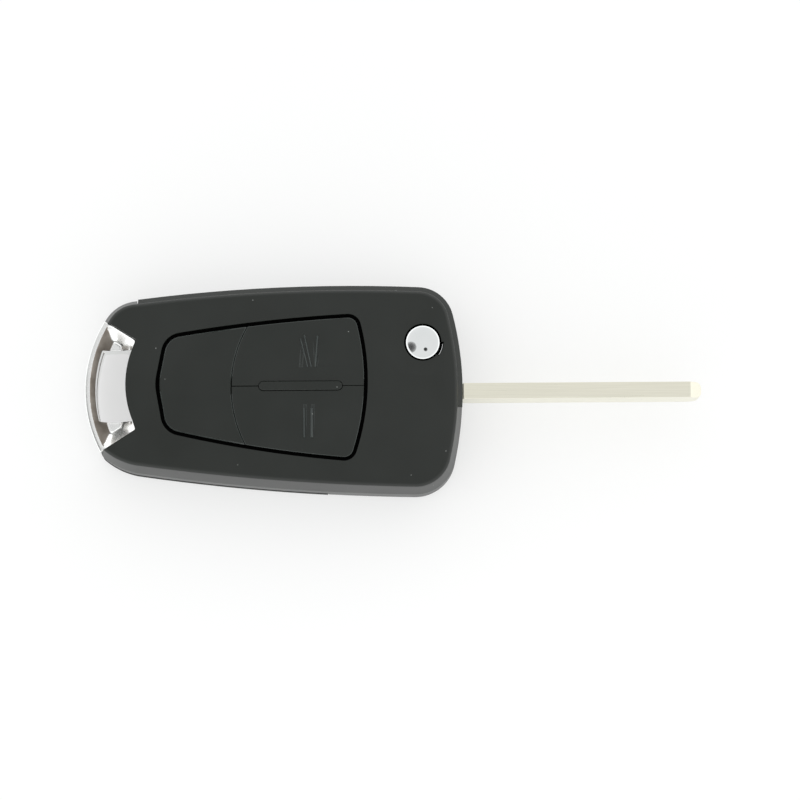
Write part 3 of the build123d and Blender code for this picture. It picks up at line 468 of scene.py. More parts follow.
@dataclass
class FinishShelf:
    """The finish of each material slot."""

    materials: dict[Slot, bpy.types.Material] = field(default_factory=dict)
    # Painted shade for the groove floor and the bore of the release button.
    painted_shade: bpy.types.Material | None = None
    # Painted highlight for the raised sign lines.
    painted_relief_highlight: bpy.types.Material | None = None
    cast_chrome: bpy.types.Material | None = None
    # Painted dark reflection for the bow's inward slopes.
    painted_reflection: bpy.types.Material | None = None
    # Painted highlight for the broken edges of the pad and keys.
    edge_light: bpy.types.Material | None = None

    def stock(self) -> None:
        """Build every finish once."""
        recipes = {
            Slot.CASE: MouldedPlastic("case plastic", (0.0045, 0.0072, 0.0048), (0.0075, 0.0105, 0.0080)),
            Slot.PAD: MouldedPlastic(
                "pad plastic", (0.0030, 0.0060, 0.0036), (0.0062, 0.0092, 0.0068), 0.38, 0.46
            ),
            Slot.CHROME: PlatedMetal("chrome plating", (0.84, 0.87, 0.87), (0.90, 0.92, 0.92), 0.02, 0.05),
            Slot.BLADE: BrushedMetal("nickel blade", (0.86, 0.84, 0.71), (0.93, 0.91, 0.78), 0.24, 0.36),
            Slot.CARRIER: PlatedMetal("black carrier", (0.02, 0.022, 0.02), (0.03, 0.033, 0.03), 0.3, 0.4),
            Slot.SPRING: PlatedMetal("spring steel", (0.5, 0.5, 0.5), (0.6, 0.6, 0.6), 0.2, 0.3),
            Slot.BOARD: MouldedPlastic("solder mask", (0.01, 0.09, 0.03), (0.02, 0.13, 0.05), 0.2, 0.3),
            Slot.SWITCH: PlatedMetal("switch cover", (0.5, 0.51, 0.52), (0.6, 0.61, 0.62), 0.25, 0.35),
            Slot.PLUNGER: MouldedPlastic("plunger plastic", (0.015, 0.015, 0.015), (0.025, 0.025, 0.025)),
            Slot.CHIP: MouldedPlastic("chip epoxy", (0.012, 0.012, 0.013), (0.02, 0.02, 0.021), 0.5, 0.6),
            Slot.CRYSTAL: PlatedMetal("crystal can", (0.65, 0.65, 0.65), (0.75, 0.75, 0.75), 0.2, 0.3),
            Slot.TRANSPONDER: MouldedPlastic(
                "transponder block", (0.02, 0.02, 0.02), (0.03, 0.03, 0.03), 0.5, 0.6
            ),
            Slot.CELL: PlatedMetal("cell steel", (0.6, 0.6, 0.61), (0.7, 0.7, 0.71), 0.18, 0.28),
            Slot.CONTACT: PlatedMetal("contact brass", (0.75, 0.6, 0.3), (0.85, 0.7, 0.4), 0.2, 0.3),
            Slot.TRAY: MouldedPlastic("tray plastic", (0.04, 0.04, 0.042), (0.06, 0.06, 0.062), 0.45, 0.55),
        }
        for slot, recipe in recipes.items():
            self.materials[slot] = recipe.material()
        # Painted shade: near black with almost no gloss.
        self.painted_shade = MouldedPlastic(
            "painted groove shade", (0.0006, 0.0006, 0.0006), (0.001, 0.001, 0.001), 0.6, 0.7, gloss=0.05
        ).material()
        # Painted highlight: a lighter tone for the raised sign lines, where their flanks catch the light.
        self.painted_relief_highlight = MouldedPlastic(
            "relief with painted highlight", (0.034, 0.042, 0.040), (0.055, 0.064, 0.061), 0.3, 0.38
        ).material()
        self.cast_chrome = PlatedMetal(
            "cast chrome", (0.88, 0.89, 0.88), (0.94, 0.95, 0.94), 0.18, 0.26
        ).material()
        # Painted reflection: a darker, brownish, half-metal chrome that stands in for dark things the bow's
        # slopes mirror.
        self.painted_reflection = PlatedMetal(
            "painted dark reflection",
            (0.27, 0.235, 0.20),
            (0.42, 0.38, 0.335),
            0.34,
            0.46,
            metal=0.35,
            drift_scale=420.0,
        ).material()
        # Painted highlight: a lighter tone for the leaning faces of broken edges.
        self.edge_light = MouldedPlastic(
            "painted edge highlight", (0.035, 0.042, 0.039), (0.058, 0.066, 0.063), 0.3, 0.38
        ).material()

    def dress_nodes(self) -> None:
        """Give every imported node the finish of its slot."""
        for entry in frame["record"]["subparts"]:
            node = NODES[entry["node"]]
            node.data.materials.clear()
            node.data.materials.append(self.materials[Slot(entry["material_slot"])])


@dataclass
class Studio:
    """Camera, table and light, set as for the photograph."""

    focal_length: float = 171.0
    sensor_width: float = 36.0
    view_reach: float = 20000.0
    distance: float = 760.0
    aim: Triple = (-4.55, -9.86, 0.0)
    tilt: float = 6.0
    roll: float = -0.38
    table_size: float = 6000.0
    table_drop: float = 0.03
    table_glow: float = 0.573
    table_dark: Triple = (0.41, 0.415, 0.412)
    table_light: Triple = (0.44, 0.445, 0.442)
    table_rough: float = 0.9
    table_grain: float = 60.0
    table_drift: float = 3.0
    zenith_level: float = 0.82
    horizon_level: float = 1.4
    horizon_end: float = 0.25
    zenith_start: float = 0.95
    backdrop_level: float = 1.0
    lens_place: Triple = (70.0, -85.0, 760.0)
    lens_radius: float = 48.0
    lens_depth: float = 1.0
    sleeve_place: Triple = (-245.0, -25.0, 650.0)
    sleeve_radius: float = 120.0
    sleeve_depth: float = 0.7
    ball_segments: int = 48
    ball_rings: int = 24

    def place_camera(self) -> None:
        """Put the camera above the key, leaning a little towards the belly side."""
        lens = bpy.data.cameras.new("camera")
        lens.lens = self.focal_length
        lens.sensor_width = self.sensor_width
        lens.clip_end = mm(self.view_reach)
        camera = bpy.data.objects.new("camera", lens)
        bpy.context.scene.collection.objects.link(camera)
        lean = math.radians(self.tilt)
        back = Vector((0.0, -math.sin(lean), math.cos(lean)))
        right = Vector((1.0, 0.0, 0.0))
        above = back.cross(right)
        turn = Matrix((right, above, back)).transposed().to_4x4()
        roll = Matrix.Rotation(math.radians(self.roll), 4, "Z")
        camera.matrix_world = Matrix.Translation(mm(*self.aim) + back * mm(self.distance)) @ turn @ roll
        bpy.context.scene.camera = camera

    def lay_table(self) -> None:
        """Lay a pale table under the key that stays white in the picture and keeps the shadow."""
        bpy.ops.mesh.primitive_plane_add(
            size=mm(self.table_size), location=(0, 0, mm(-self.table_drop))
        )
        table = bpy.context.object
        table.name = "table"
        sketch = MaterialSketch("pale table")
        grain = sketch.group(GROUPS.grain(), Scale=self.table_grain, Drift_Scale=self.table_drift)
        sketch.tint(grain.outputs["Drift"], self.table_dark, self.table_light)
        sketch.shader.inputs["Roughness"].default_value = self.table_rough
        sketch.shader.inputs["Specular IOR Level"].default_value = 0.0
        sketch.shader.inputs["Emission Color"].default_value = (1.0, 1.0, 1.0, 1.0)
        path = sketch.node("ShaderNodeLightPath")
        tree = sketch.material.node_tree
        seen = math_node(
            tree, "MAXIMUM", path.outputs["Is Camera Ray"], path.outputs["Is Glossy Ray"]
        )
        either = math_node(tree, "MAXIMUM", seen, path.outputs["Is Transmission Ray"])
        glow = sketch.spread(either, 0.0, self.table_glow)
        sketch.link(glow, sketch.shader.inputs["Emission Strength"])
        table.data.materials.append(sketch.material)

    def light(self) -> None:
        """Surround the key with white light that is brighter near the horizon than straight above."""
        world = bpy.data.worlds.new("white tent")
        bpy.context.scene.world = world
        world.use_nodes = True
        nodes = world.node_tree.nodes
        links = world.node_tree.links
        place = nodes.new("ShaderNodeTexCoord")
        split = nodes.new("ShaderNodeSeparateXYZ")
        links.new(place.outputs["Generated"], split.inputs[0])
        height = nodes.new("ShaderNodeMapRange")
        height.interpolation_type = "SMOOTHSTEP"
        height.inputs["From Min"].default_value = self.horizon_end
        height.inputs["From Max"].default_value = self.zenith_start
        height.inputs["To Min"].default_value = self.horizon_level
        height.inputs["To Max"].default_value = self.zenith_level
        links.new(split.outputs["Z"], height.inputs["Value"])
        path = nodes.new("ShaderNodeLightPath")
        level = nodes.new("ShaderNodeMix")
        level.inputs["B"].default_value = self.backdrop_level
        links.new(path.outputs["Is Camera Ray"], level.inputs["Factor"])
        links.new(height.outputs["Result"], level.inputs["A"])
        background = nodes["Background"]
        background.inputs["Color"].default_value = (1.0, 1.0, 1.0, 1.0)
        links.new(level.outputs["Result"], background.inputs["Strength"])
        bpy.context.scene.view_settings.view_transform = "Standard"

    def stand_in(self, name: str, place: Triple, radius: float, depth: float) -> None:
        """Hang a dark ball that only mirrors see, fading out towards its rim.

        Args:
            name: Name of the ball.
            place: Its middle, in millimetres.
            radius: Its radius, in millimetres.
            depth: How dark it is at its middle, from 0 to 1.
        """
        dark = MaterialSketch(name)
        grain = dark.group(GROUPS.grain(), Scale=40.0, Drift_Scale=10.0)
        dark.tint(grain.outputs["Drift"], (0.01, 0.01, 0.01), (0.02, 0.02, 0.02))
        facing = dark.node("ShaderNodeLayerWeight")
        dark.link(dark.spread(facing.outputs["Facing"], depth, 0.0), dark.shader.inputs["Alpha"])
        bpy.ops.object.select_all(action="DESELECT")
        bpy.ops.mesh.primitive_uv_sphere_add(
            segments=self.ball_segments,
            ring_count=self.ball_rings,
            radius=mm(radius),
            location=mm(*place),
        )
        ball = bpy.context.object
        ball.name = name
        ball.visible_camera = False
        ball.visible_diffuse = False
        ball.visible_shadow = False
        ball.data.materials.append(dark.material)

    def hang_lens(self) -> None:
        """Hang the dark lens and the sleeve that the domed chrome mirrors."""
        self.stand_in("lens", self.lens_place, self.lens_radius, self.lens_depth)
        self.stand_in("sleeve", self.sleeve_place, self.sleeve_radius, self.sleeve_depth)

    def prepare(self) -> None:
        """Set the whole stage."""
        self.place_camera()
        self.lay_table()
        self.light()
        self.hang_lens()


class Pick(str, Enum):
    """Kinds of mesh element that can be picked in edit mode."""

    VERT = "VERT"
    EDGE = "EDGE"
    FACE = "FACE"


class Workbench:
    """Edit-mode work on one mesh at a time, as a modeller does it by hand."""

    WELD = 0.0005  # millimetres between corners that become one
    FLAT = 0.4  # degrees between triangles that become one face
    NORMAL_WEIGHT = 80  # pull of large faces on the shading

    @staticmethod
    def take(piece: bpy.types.Object) -> None:
        """Select one object and nothing else.

        Args:
            piece: The object, which also becomes the active one.
        """
        bpy.ops.object.select_all(action="DESELECT")
        piece.select_set(True)
        bpy.context.view_layer.objects.active = piece

    @classmethod
    def settle(cls, piece: bpy.types.Object) -> None:
        """Move a piece's place, turn and scale into its mesh."""
        cls.take(piece)
        bpy.ops.object.transform_apply(location=True, rotation=True, scale=True)

    @classmethod
    def open(cls, piece: bpy.types.Object, kind: Pick = Pick.FACE) -> None:
        """Open a piece in edit mode with nothing selected.

        Args:
            piece: The piece.
            kind: Kind of element that is selected from then on.
        """
        cls.take(piece)
        bpy.ops.object.mode_set(mode="EDIT")
        bpy.ops.mesh.select_mode(type=kind.value)
        bpy.ops.mesh.select_all(action="DESELECT")

    @staticmethod
    def close() -> None:
        """Leave edit mode."""
        bpy.ops.object.mode_set(mode="OBJECT")

    @staticmethod
    def pick(piece: bpy.types.Object, kind: Pick, test: Callable) -> None:
        """Select, in edit mode, what passes a test and nothing else.

        Args:
            piece: The piece being worked on.
            kind: Kind of element.
            test: Takes an element and says whether it is picked.
        """
        bpy.ops.mesh.select_mode(type=kind.value)
        bpy.ops.mesh.select_all(action="DESELECT")
        mesh = bmesh.from_edit_mesh(piece.data)
        family = {Pick.VERT: mesh.verts, Pick.EDGE: mesh.edges, Pick.FACE: mesh.faces}[kind]
        for element in [element for element in family if test(element)]:
            element.select_set(True)
        mesh.select_flush_mode()
        bmesh.update_edit_mesh(piece.data)

    @classmethod
    def block(cls, name: str, low: Sequence[float], high: Sequence[float]) -> bpy.types.Object:
        """Add a block between two corners.

        Args:
            name: Name of the block.
            low: Its lower corner, in millimetres.
            high: Its upper corner, in millimetres.

        Returns:
            The block, with its transform applied.
        """
        bpy.ops.object.select_all(action="DESELECT")
        middle = [(a + b) / 2 for a, b in zip(low, high)]
        bpy.ops.mesh.primitive_cube_add(size=1.0, location=mm(*middle))
        piece = bpy.context.object
        piece.name = name
        piece.scale = mm(*(b - a for a, b in zip(low, high)))
        cls.settle(piece)
        return piece

    @classmethod
    def merged_copy(cls, node: str, name: str) -> bpy.types.Object:
        """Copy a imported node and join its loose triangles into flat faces.

        Args:
            node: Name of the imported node.
            name: Name of the new piece.

        Returns:
            The copy, closed and with whole faces.
        """
        mesh = NODES[node].data.copy()
        mesh.name = name
        mesh.materials.clear()
        piece = bpy.data.objects.new(name, mesh)
        bpy.context.scene.collection.objects.link(piece)
        cls.open(piece)
        bpy.ops.mesh.select_all(action="SELECT")
        bpy.ops.mesh.customdata_custom_splitnormals_clear()
        bpy.ops.mesh.remove_doubles(threshold=mm(cls.WELD))
        bpy.ops.mesh.dissolve_limited(angle_limit=math.radians(cls.FLAT))
        cls.close()
        return piece

    @classmethod
    def modify(cls, piece: bpy.types.Object, kind: str, **settings) -> None:
        """Add a modifier and apply it.

        Args:
            piece: The piece.
            kind: Blender's name for the kind of modifier.
            **settings: Attributes to set on it.
        """
        cls.take(piece)
        modifier = piece.modifiers.new(kind.title(), kind)
        for label, value in settings.items():
            setattr(modifier, label, value)
        bpy.ops.object.modifier_apply(modifier=modifier.name)

    @classmethod
    def smooth(cls, piece: bpy.types.Object, angle: float) -> None:
        """Shade smooth, with sharp edges kept.

        Args:
            piece: The piece.
            angle: Degrees from which an edge counts as sharp.
        """
        cls.take(piece)
        bpy.ops.object.shade_smooth_by_angle(angle=math.radians(angle))
        cls.modify(piece, "WEIGHTED_NORMAL", keep_sharp=True, weight=cls.NORMAL_WEIGHT)

    @classmethod
    def paint(cls, piece: bpy.types.Object, slot: int, test: Callable) -> None:
        """Give the faces that pass a test another of the piece's materials.

        Args:
            piece: The piece.
            slot: Index of the material.
            test: Takes a face and says whether it is painted.
        """
        cls.open(piece)
        cls.pick(piece, Pick.FACE, test)
        piece.active_material_index = slot
        bpy.ops.object.material_slot_assign()
        cls.close()


@dataclass
class SubAssembly:
    """Pieces that are built, dressed and reported together."""

    shelf: FinishShelf

    def keep(self, piece: bpy.types.Object, body: Body, slot: Slot, *nodes: str) -> None:
        """Dress a finished piece, fix it to its body and report it.

        Args:
            piece: The finished piece.
            body: Body that it rides on.
            slot: Material slot of its finish.
            *nodes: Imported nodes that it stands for.
        """
        if not piece.data.materials:
            piece.data.materials.append(self.shelf.materials[slot])
        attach(piece, body.value)
        if nodes:
            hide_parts(*nodes)
        log.info("%s rides on %s with %d faces", piece.name, body.value, len(piece.data.polygons))


@dataclass
class CaseShells(SubAssembly):
    """Front shell, rear shell and battery cover, shaded so that their mould edges stay crisp."""

    crease_angle: float = 35.0

    def moulding(self, node: str, name: str) -> bpy.types.Object:
        """Copy a shell and shade it.

        Args:
            node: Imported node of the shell.
            name: Name of the piece.

        Returns:
            The piece.
        """
        piece = Workbench.merged_copy(node, name)
        Workbench.smooth(piece, self.crease_angle)
        return piece

    def build(self) -> None:
        """Build the three mouldings."""
        self.keep(self.moulding("front_shell", "case_front"), Body.HOUSING, Slot.CASE, "front_shell")
        self.keep(self.moulding("rear_shell", "case_rear"), Body.HOUSING, Slot.CASE, "rear_shell")
        self.keep(self.moulding("battery_cover", "battery_door"), Body.HOUSING, Slot.CASE, "battery_cover")


@dataclass
class ReleaseButton(SubAssembly):
    """Domed chrome button with its flange and the lug that locks the blade."""

    radius: float = 3.32
    flange_radius: float = 4.2
    flange_height: float = 1.2
    dome_height: float = 0.4
    rim: float = 0.15
    segments: int = 96
    dome_rings: int = 12
    pole_radius: float = 0.2
    lug_radius: float = 4.0
    lug_inner: float = 3.0
    lug_drop: float = 2.6
    lug_height: float = 1.0
    lug_start: float = -38.0
    lug_sweep: float = 36.0
    lug_steps: int = 12
    lug_rim: float = 0.13
    section: float = 0.01
    weld: float = 0.001
    level_margin: float = 0.01
    edge_break: float = 0.06
    edge_angle: float = 50.0
    crease_angle: float = 40.0

    def cap(self) -> bpy.types.Object:
        """Raise the stem from the flange and crown it ring by ring.

        Returns:
            The cap, still without its lug.
        """
        low, high = in_mm(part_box("release_button"))
        bpy.ops.object.select_all(action="DESELECT")
        bpy.ops.mesh.primitive_cylinder_add(
            vertices=self.segments,
            radius=mm(self.flange_radius),
            depth=mm(self.flange_height),
            location=mm(0, 0, low.z + self.flange_height / 2),
        )
        piece = bpy.context.object
        piece.name = "release_cap"
        Workbench.settle(piece)
        Workbench.open(piece)
        Workbench.pick(piece, Pick.FACE, lambda face: face.normal.z > FACING)
        bpy.ops.mesh.inset(thickness=mm(self.flange_radius - self.radius))
        stem = high.z - self.dome_height - self.rim - low.z - self.flange_height
        bpy.ops.mesh.extrude_region_move(TRANSFORM_OT_translate={"value": mm(0, 0, stem)})
        bpy.ops.mesh.inset(thickness=mm(self.rim), depth=mm(self.rim))
        reach = self.radius - self.rim
        at = reach
        for ring in range(1, self.dome_rings + 1):
            nearer = reach + (self.pole_radius - reach) * ring / self.dome_rings
            rise = self.dome_height * (at**2 - nearer**2) / reach**2
            bpy.ops.mesh.inset(thickness=mm(at - nearer), depth=mm(rise))
            at = nearer
        bpy.ops.mesh.poke()
        Workbench.close()
        return piece

    def lug(self) -> bpy.types.Object:
        """Spin the lug's section round the button's axis.

        Returns:
            The lug.
        """
        start = math.radians(self.lug_start)
        _, high = in_mm(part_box("release_button"))
        low = high.z - self.lug_drop
        inner = (self.lug_inner, -self.section, low)
        outer = (self.lug_radius, 0.0, low + self.lug_height)
        piece = Workbench.block("lug", inner, outer)
        piece.rotation_euler = (0, 0, start)
        Workbench.settle(piece)
        Workbench.open(piece)
        ahead = Vector((-math.sin(start), math.cos(start), 0.0))
        Workbench.pick(piece, Pick.FACE, lambda face: face.normal.dot(ahead) > FACING)
        sweep = -math.radians(self.lug_sweep)
        bpy.ops.mesh.spin(steps=self.lug_steps, angle=sweep, center=(0, 0, 0), axis=(0, 0, 1))
        bpy.ops.mesh.select_all(action="SELECT")
        bpy.ops.mesh.remove_doubles(threshold=mm(self.weld))
        bpy.ops.mesh.normals_make_consistent(inside=False)
        Workbench.pick(piece, Pick.FACE, lambda face: face.normal.z > FACING)
        bpy.ops.mesh.inset(thickness=mm(self.lug_rim))
        Workbench.close()
        return piece

    def shade_test(self) -> Callable:
        """Find what lies in the shade of the bore: the flange, and the lug inside its rim.

        Returns:
            A test that takes a face.
        """
        low, high = in_mm(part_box("release_button"))
        ledge = mm(low.z + self.flange_height + self.rim)
        crest = mm(high.z - self.lug_drop + self.lug_height)
        reach = mm(self.lug_radius - self.lug_rim)
        margin = mm(self.level_margin)

        def is_shaded(face: bmesh.types.BMFace) -> bool:
            """Say whether one face lies in the shade."""
            middle = face.calc_center_median()
            on_lug = face.normal.z > FACING and abs(middle.z - crest) < margin
            return max(v.co.z for v in face.verts) < ledge or (on_lug and middle.to_2d().length < reach)

        return is_shaded

    def build(self) -> None:
        """Join the cap and its lug."""
        cap = self.cap()
        lug = self.lug()
        Workbench.take(cap)
        lug.select_set(True)
        bpy.ops.object.join()
        Workbench.modify(
            cap,
            "BEVEL",
            width=mm(self.edge_break),
            segments=2,
            limit_method="ANGLE",
            angle_limit=math.radians(self.edge_angle),
        )
        Workbench.smooth(cap, self.crease_angle)
        cap.data.materials.append(self.shelf.materials[Slot.CHROME])
        # Painted shade on the flange and on the lug inside its rim.
        cap.data.materials.append(self.shelf.painted_shade)
        Workbench.paint(cap, 1, self.shade_test())
        self.keep(cap, Body.RELEASE, Slot.CHROME, "release_button")


@dataclass
class FlipSpring(SubAssembly):
    """Coil spring under the release button."""

    travel: float = 1.6
    crease_angle: float = 40.0

    def build(self) -> None:
        """Copy the coil, shade it and fix it to the flip head with a mesh of its own."""
        piece = Workbench.merged_copy("flip_spring", "flip_spring_coil")
        Workbench.smooth(piece, self.crease_angle)
        self.keep(piece, Body.FLIP_HEAD, Slot.SPRING, "flip_spring")
        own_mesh(piece)


@dataclass
class KeyRingBow(SubAssembly):
    """Chrome bow, cast soft: every edge and valley runs over in a small round."""

    voxel: float = 0.15
    smoothing: int = 9
    scoop_depth: float = 2.3
    scoop_margin: float = 0.22
    scoop_smoothing: int = 70
    ease: float = 0.5
    crease_angle: float = 60.0
    recess_lean: float = 0.33
    parting_reach: float = 0.9

    def soften_scoops(self, piece: bpy.types.Object) -> None:
        """Run the sloped walls of both pockets into each other; the rims and the window stay.

        Args:
            piece: The bow.
        """
        low, high = in_mm(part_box("key_ring_bow"))
        bands = (
            (low.z + self.scoop_margin, low.z + self.scoop_depth - self.scoop_margin),
            (high.z - self.scoop_depth + self.scoop_margin, high.z - self.scoop_margin),
        )
        Workbench.open(piece, Pick.VERT)
        Workbench.pick(
            piece,
            Pick.VERT,
            lambda vert: any(mm(start) < vert.co.z < mm(end) for start, end in bands)
            and abs(vert.normal.z) > self.recess_lean,
        )
        bpy.ops.mesh.vertices_smooth(factor=self.ease, repeat=self.scoop_smoothing)
        Workbench.close()

    def painted_reflection_test(self) -> Callable:
        """Find the faces that get a painted dark reflection: the leaning ones that look inward, and a band
        at the parting.

        Returns:
            A test that takes a face.
        """
        low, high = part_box("key_ring_bow")
        parting = (low.z + high.z) / 2
        reach = mm(self.parting_reach)

        def is_painted_reflection(face: bmesh.types.BMFace) -> bool:
            """Say whether one face gets the painted dark reflection."""
            if face.normal.x <= self.recess_lean:
                return False
            leans = abs(face.normal.z) > self.recess_lean
            return leans or abs(face.calc_center_median().z - parting) < reach

        return is_painted_reflection

    def build(self) -> None:
        """Copy the bow, remesh it finely and let its edges run over."""
        piece = Workbench.merged_copy("key_ring_bow", "key_ring_bow_cast")
        piece.data.remesh_voxel_size = mm(self.voxel)
        Workbench.take(piece)
        bpy.ops.object.voxel_remesh()
        Workbench.modify(piece, "SMOOTH", factor=self.ease, iterations=self.smoothing)
        self.soften_scoops(piece)
        Workbench.smooth(piece, self.crease_angle)
        piece.data.materials.append(self.shelf.cast_chrome)
        # Painted dark reflection on the inward-looking slopes and the band at the parting.
        piece.data.materials.append(self.shelf.painted_reflection)
        Workbench.paint(piece, 1, self.painted_reflection_test())
        self.keep(piece, Body.HOUSING, Slot.CHROME, "key_ring_bow")


@dataclass(frozen=True)
class Stroke:
    """One raised line of a key's sign, with its sizes in millimetres and its lean in degrees."""

    x: float
    y: float
    length: float
    width: float
    lean: float


@dataclass
class KeyPad(SubAssembly):
    """Button pad and its two keys, with the relief lines that tell the keys apart."""

    groove_floor: float = 13.6
    edge_break: float = 0.12
    edge_angle: float = 60.0
    edge_floor: float = 13.9
    edge_slope: tuple[float, float] = (0.2, 0.94)
    seam_margin: float = 1.6
    crease_angle: float = 30.0
    stroke_flank: float = 0.12
    stroke_sink: float = 0.16
    stroke_rise: float = 0.2
    stroke_round: float = 0.025
    stroke_crease: float = 50.0
    probe_height: float = 20.0
    unlock_sign: tuple[Stroke, ...] = (
        Stroke(-23.3, -1.99, 6.0, 0.4, 13.7),
        Stroke(-22.6, -1.64, 6.6, 0.4, 12.0),
        Stroke(-20.9, -1.73, 6.3, 0.45, -4.5),
    )
    lock_sign: tuple[Stroke, ...] = (
        Stroke(-23.36, -15.8, 5.9, 0.45, 0.0),
        Stroke(-21.86, -15.8, 5.9, 0.65, 0.0),
    )

    def moulding(self, node: str, name: str) -> bpy.types.Object:
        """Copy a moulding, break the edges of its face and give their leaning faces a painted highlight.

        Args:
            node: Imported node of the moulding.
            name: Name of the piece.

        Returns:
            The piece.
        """
        piece = Workbench.merged_copy(node, name)
        limit = math.radians(self.edge_angle)
        floor = mm(self.edge_floor)
        Workbench.open(piece, Pick.EDGE)
        Workbench.pick(
            piece,
            Pick.EDGE,
            lambda edge: edge.is_manifold
            and edge.calc_face_angle() > limit
            and min(v.co.z for v in edge.verts) > floor,
        )
        bpy.ops.mesh.bevel(offset=mm(self.edge_break), segments=2, clamp_overlap=False)
        Workbench.close()
        Workbench.smooth(piece, self.crease_angle)
        piece.data.materials.append(self.shelf.materials[Slot.PAD])
        # Painted highlight on the leaning faces of the broken edges, away from the seam between the keys.
        piece.data.materials.append(self.shelf.edge_light)
        seam = (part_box("unlock_button")[0].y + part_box("lock_button")[1].y) / 2
        Workbench.paint(
            piece,
            1,
            lambda face: self.edge_slope[0] < face.normal.z < self.edge_slope[1]
            and min(v.co.z for v in face.verts) > floor
            and abs(face.calc_center_median().y - seam) > mm(self.seam_margin),
        )
        return piece

    def membrane(self) -> None:
        """Make the pad and give the floor of its groove painted shade: a near-black, matt finish."""
        piece = self.moulding("button_pad", "pad_membrane")
        # Painted shade on the floor of the groove.
        piece.data.materials.append(self.shelf.painted_shade)
        floor = mm(self.groove_floor)
        Workbench.paint(piece, 2, lambda face: max(v.co.z for v in face.verts) < floor)
        self.keep(piece, Body.HOUSING, Slot.PAD, "button_pad")

    def stroke(self, cap: bpy.types.Object, name: str, line: Stroke) -> bpy.types.Object:
        """Raise one relief line out of a key's face.

        Args:
            cap: The key that carries it.
            name: Name of the piece.
            line: Place and size of the line.

        Returns:
            The line, with steep flanks and soft ends.
        """
        half = line.width / 2
        reach = line.length / 2
        piece = Workbench.block(name, (-half, -reach, -self.stroke_sink), (half, reach, self.stroke_rise))
        Workbench.open(piece)
        Workbench.pick(piece, Pick.FACE, lambda face: face.normal.z > FACING)
        across = 1.0 - self.stroke_flank / half
        along = 1.0 - self.stroke_flank / reach
        bpy.ops.transform.resize(value=(across, along, 1.0))
        Workbench.close()
        piece.rotation_euler = (0, 0, math.radians(line.lean))
        piece.location = mm(line.x, line.y, self.face_height(cap, (line.x, line.y)))
        Workbench.settle(piece)
        Workbench.modify(piece, "BEVEL", width=mm(self.stroke_round), segments=2)
        Workbench.smooth(piece, self.stroke_crease)
        # Painted highlight: the line takes the lighter tone.
        piece.data.materials.append(self.shelf.painted_relief_highlight)
        return piece

    def face_height(self, cap: bpy.types.Object, place: tuple[float, float]) -> float:
        """Find how high a key's face is at a place.

        Args:
            cap: The key.
            place: X and Y, in millimetres.

        Returns:
            The height, in millimetres.
        """
        bpy.context.view_layer.update()
        _, where, _, _ = cap.ray_cast(mm(*place, self.probe_height), Vector((0, 0, -1)))
        return where.z * MM_PER_METRE

    def key(self, node: str, name: str, body: Body, sign: Sequence[Stroke]) -> None:
        """Make a key and raise the lines of its sign.

        Args:
            node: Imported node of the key.
            name: Name of the piece.
            body: Body of the key.
            sign: The lines.
        """
        cap = self.moulding(node, name)
        self.keep(cap, body, Slot.PAD, node)
        for index, line in enumerate(sign):
            self.keep(self.stroke(cap, f"{name}_line_{index + 1}", line), body, Slot.PAD)

    def build(self) -> None:
        """Build the pad and both keys."""
        self.membrane()
        self.key("unlock_button", "unlock_cap", Body.UNLOCK_KEY, self.unlock_sign)
        self.key("lock_button", "lock_cap", Body.LOCK_KEY, self.lock_sign)


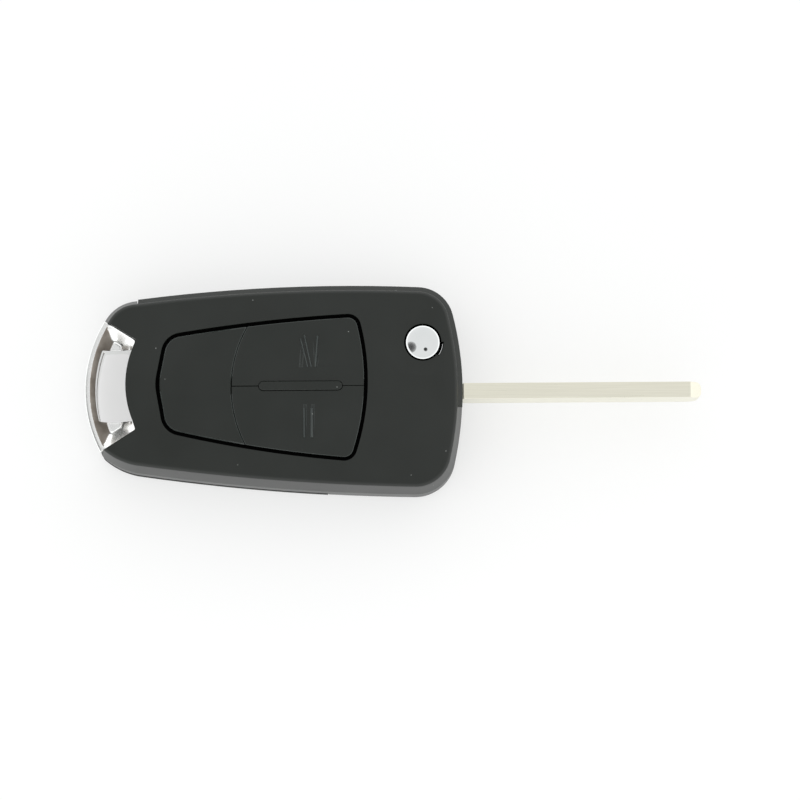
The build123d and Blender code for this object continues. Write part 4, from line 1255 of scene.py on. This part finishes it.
@dataclass
class FlipBlade(SubAssembly):
    """Uncut blade on edge: a bar with a bevelled, rounded tip and a stepped tang with its pin hole."""

    tip_drop: float = 2.2
    tip_radius: float = 1.1
    tip_segments: int = 6
    edge_break: float = 0.22
    edge_segments: int = 3
    edge_angle: float = 40.0
    crease_angle: float = 25.0
    tang_drop: float = 1.2
    tang_length: float = 7.35
    pin_segments: int = 32

    @staticmethod
    def tip_test(tip: float, axis: str) -> Callable:
        """Find the edges of the tip that run level.

        Args:
            tip: X of the tip, in metres.
            axis: Axis along which both ends of such an edge are at one height.

        Returns:
            A test that takes an edge.
        """

        def is_level(edge: bmesh.types.BMEdge) -> bool:
            """Say whether one edge is at the tip and level."""
            one, other = (v.co for v in edge.verts)
            at_tip = all(abs(end.x - tip) < SAME_PLACE for end in (one, other))
            return at_tip and abs(getattr(one, axis) - getattr(other, axis)) < SAME_PLACE

        return is_level

    def bar(self) -> bpy.types.Object:
        """Shape the bar and its tang from a block.

        Returns:
            The bar, not yet drilled.
        """
        low, high = in_mm(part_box("blade"))
        root = low.x + self.tang_length
        piece = Workbench.block("blade_bar", (root, low.y, low.z), high)
        tip = mm(high.x)
        Workbench.open(piece, Pick.EDGE)
        Workbench.pick(piece, Pick.EDGE, self.tip_test(tip, "z"))
        bpy.ops.mesh.bevel(offset=mm(self.tip_drop), segments=1)
        Workbench.pick(piece, Pick.EDGE, self.tip_test(tip, "y"))
        bpy.ops.mesh.bevel(offset=mm(self.tip_radius), segments=self.tip_segments)
        for level in (low.z + self.tang_drop, high.z - self.tang_drop):
            bpy.ops.mesh.select_all(action="SELECT")
            bpy.ops.mesh.bisect(plane_co=mm(0, 0, level), plane_no=(0, 0, 1))
        middle = mm((low.z + high.z) / 2)
        Workbench.pick(
            piece,
            Pick.FACE,
            lambda face: face.normal.x < -FACING
            and abs(face.calc_center_median().z - middle) < mm(self.tang_drop),
        )
        bpy.ops.mesh.extrude_region_move(TRANSFORM_OT_translate={"value": mm(-self.tang_length, 0, 0)})
        Workbench.close()
        return piece

    def drill(self, piece: bpy.types.Object) -> None:
        """Drill the tang for the roll pin.

        Args:
            piece: The bar.
        """
        low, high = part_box("roll_pin")
        bpy.ops.object.select_all(action="DESELECT")
        bpy.ops.mesh.primitive_cylinder_add(
            vertices=self.pin_segments,
            radius=(high.x - low.x) / 2,
            depth=2 * (high.y - low.y),
            location=(low + high) / 2,
            rotation=(math.pi / 2, 0, 0),
        )
        cutter = bpy.context.object
        Workbench.modify(piece, "BOOLEAN", operation="DIFFERENCE", solver="EXACT", object=cutter)
        bpy.data.objects.remove(cutter, do_unlink=True)

    def build(self) -> None:
        """Shape, drill and finish the blade."""
        piece = self.bar()
        Workbench.modify(
            piece,
            "BEVEL",
            width=mm(self.edge_break),
            segments=self.edge_segments,
            limit_method="ANGLE",
            angle_limit=math.radians(self.edge_angle),
        )
        self.drill(piece)
        Workbench.smooth(piece, self.crease_angle)
        self.keep(piece, Body.FLIP_HEAD, Slot.BLADE, "blade")


def main() -> None:
    """Build the stage and dress the key."""
    Studio().prepare()
    shelf = FinishShelf()
    shelf.stock()
    shelf.dress_nodes()
    for maker in (CaseShells, KeyRingBow, KeyPad, ReleaseButton, FlipSpring, FlipBlade):
        maker(shelf).build()


if __name__ == "__main__":
    main()
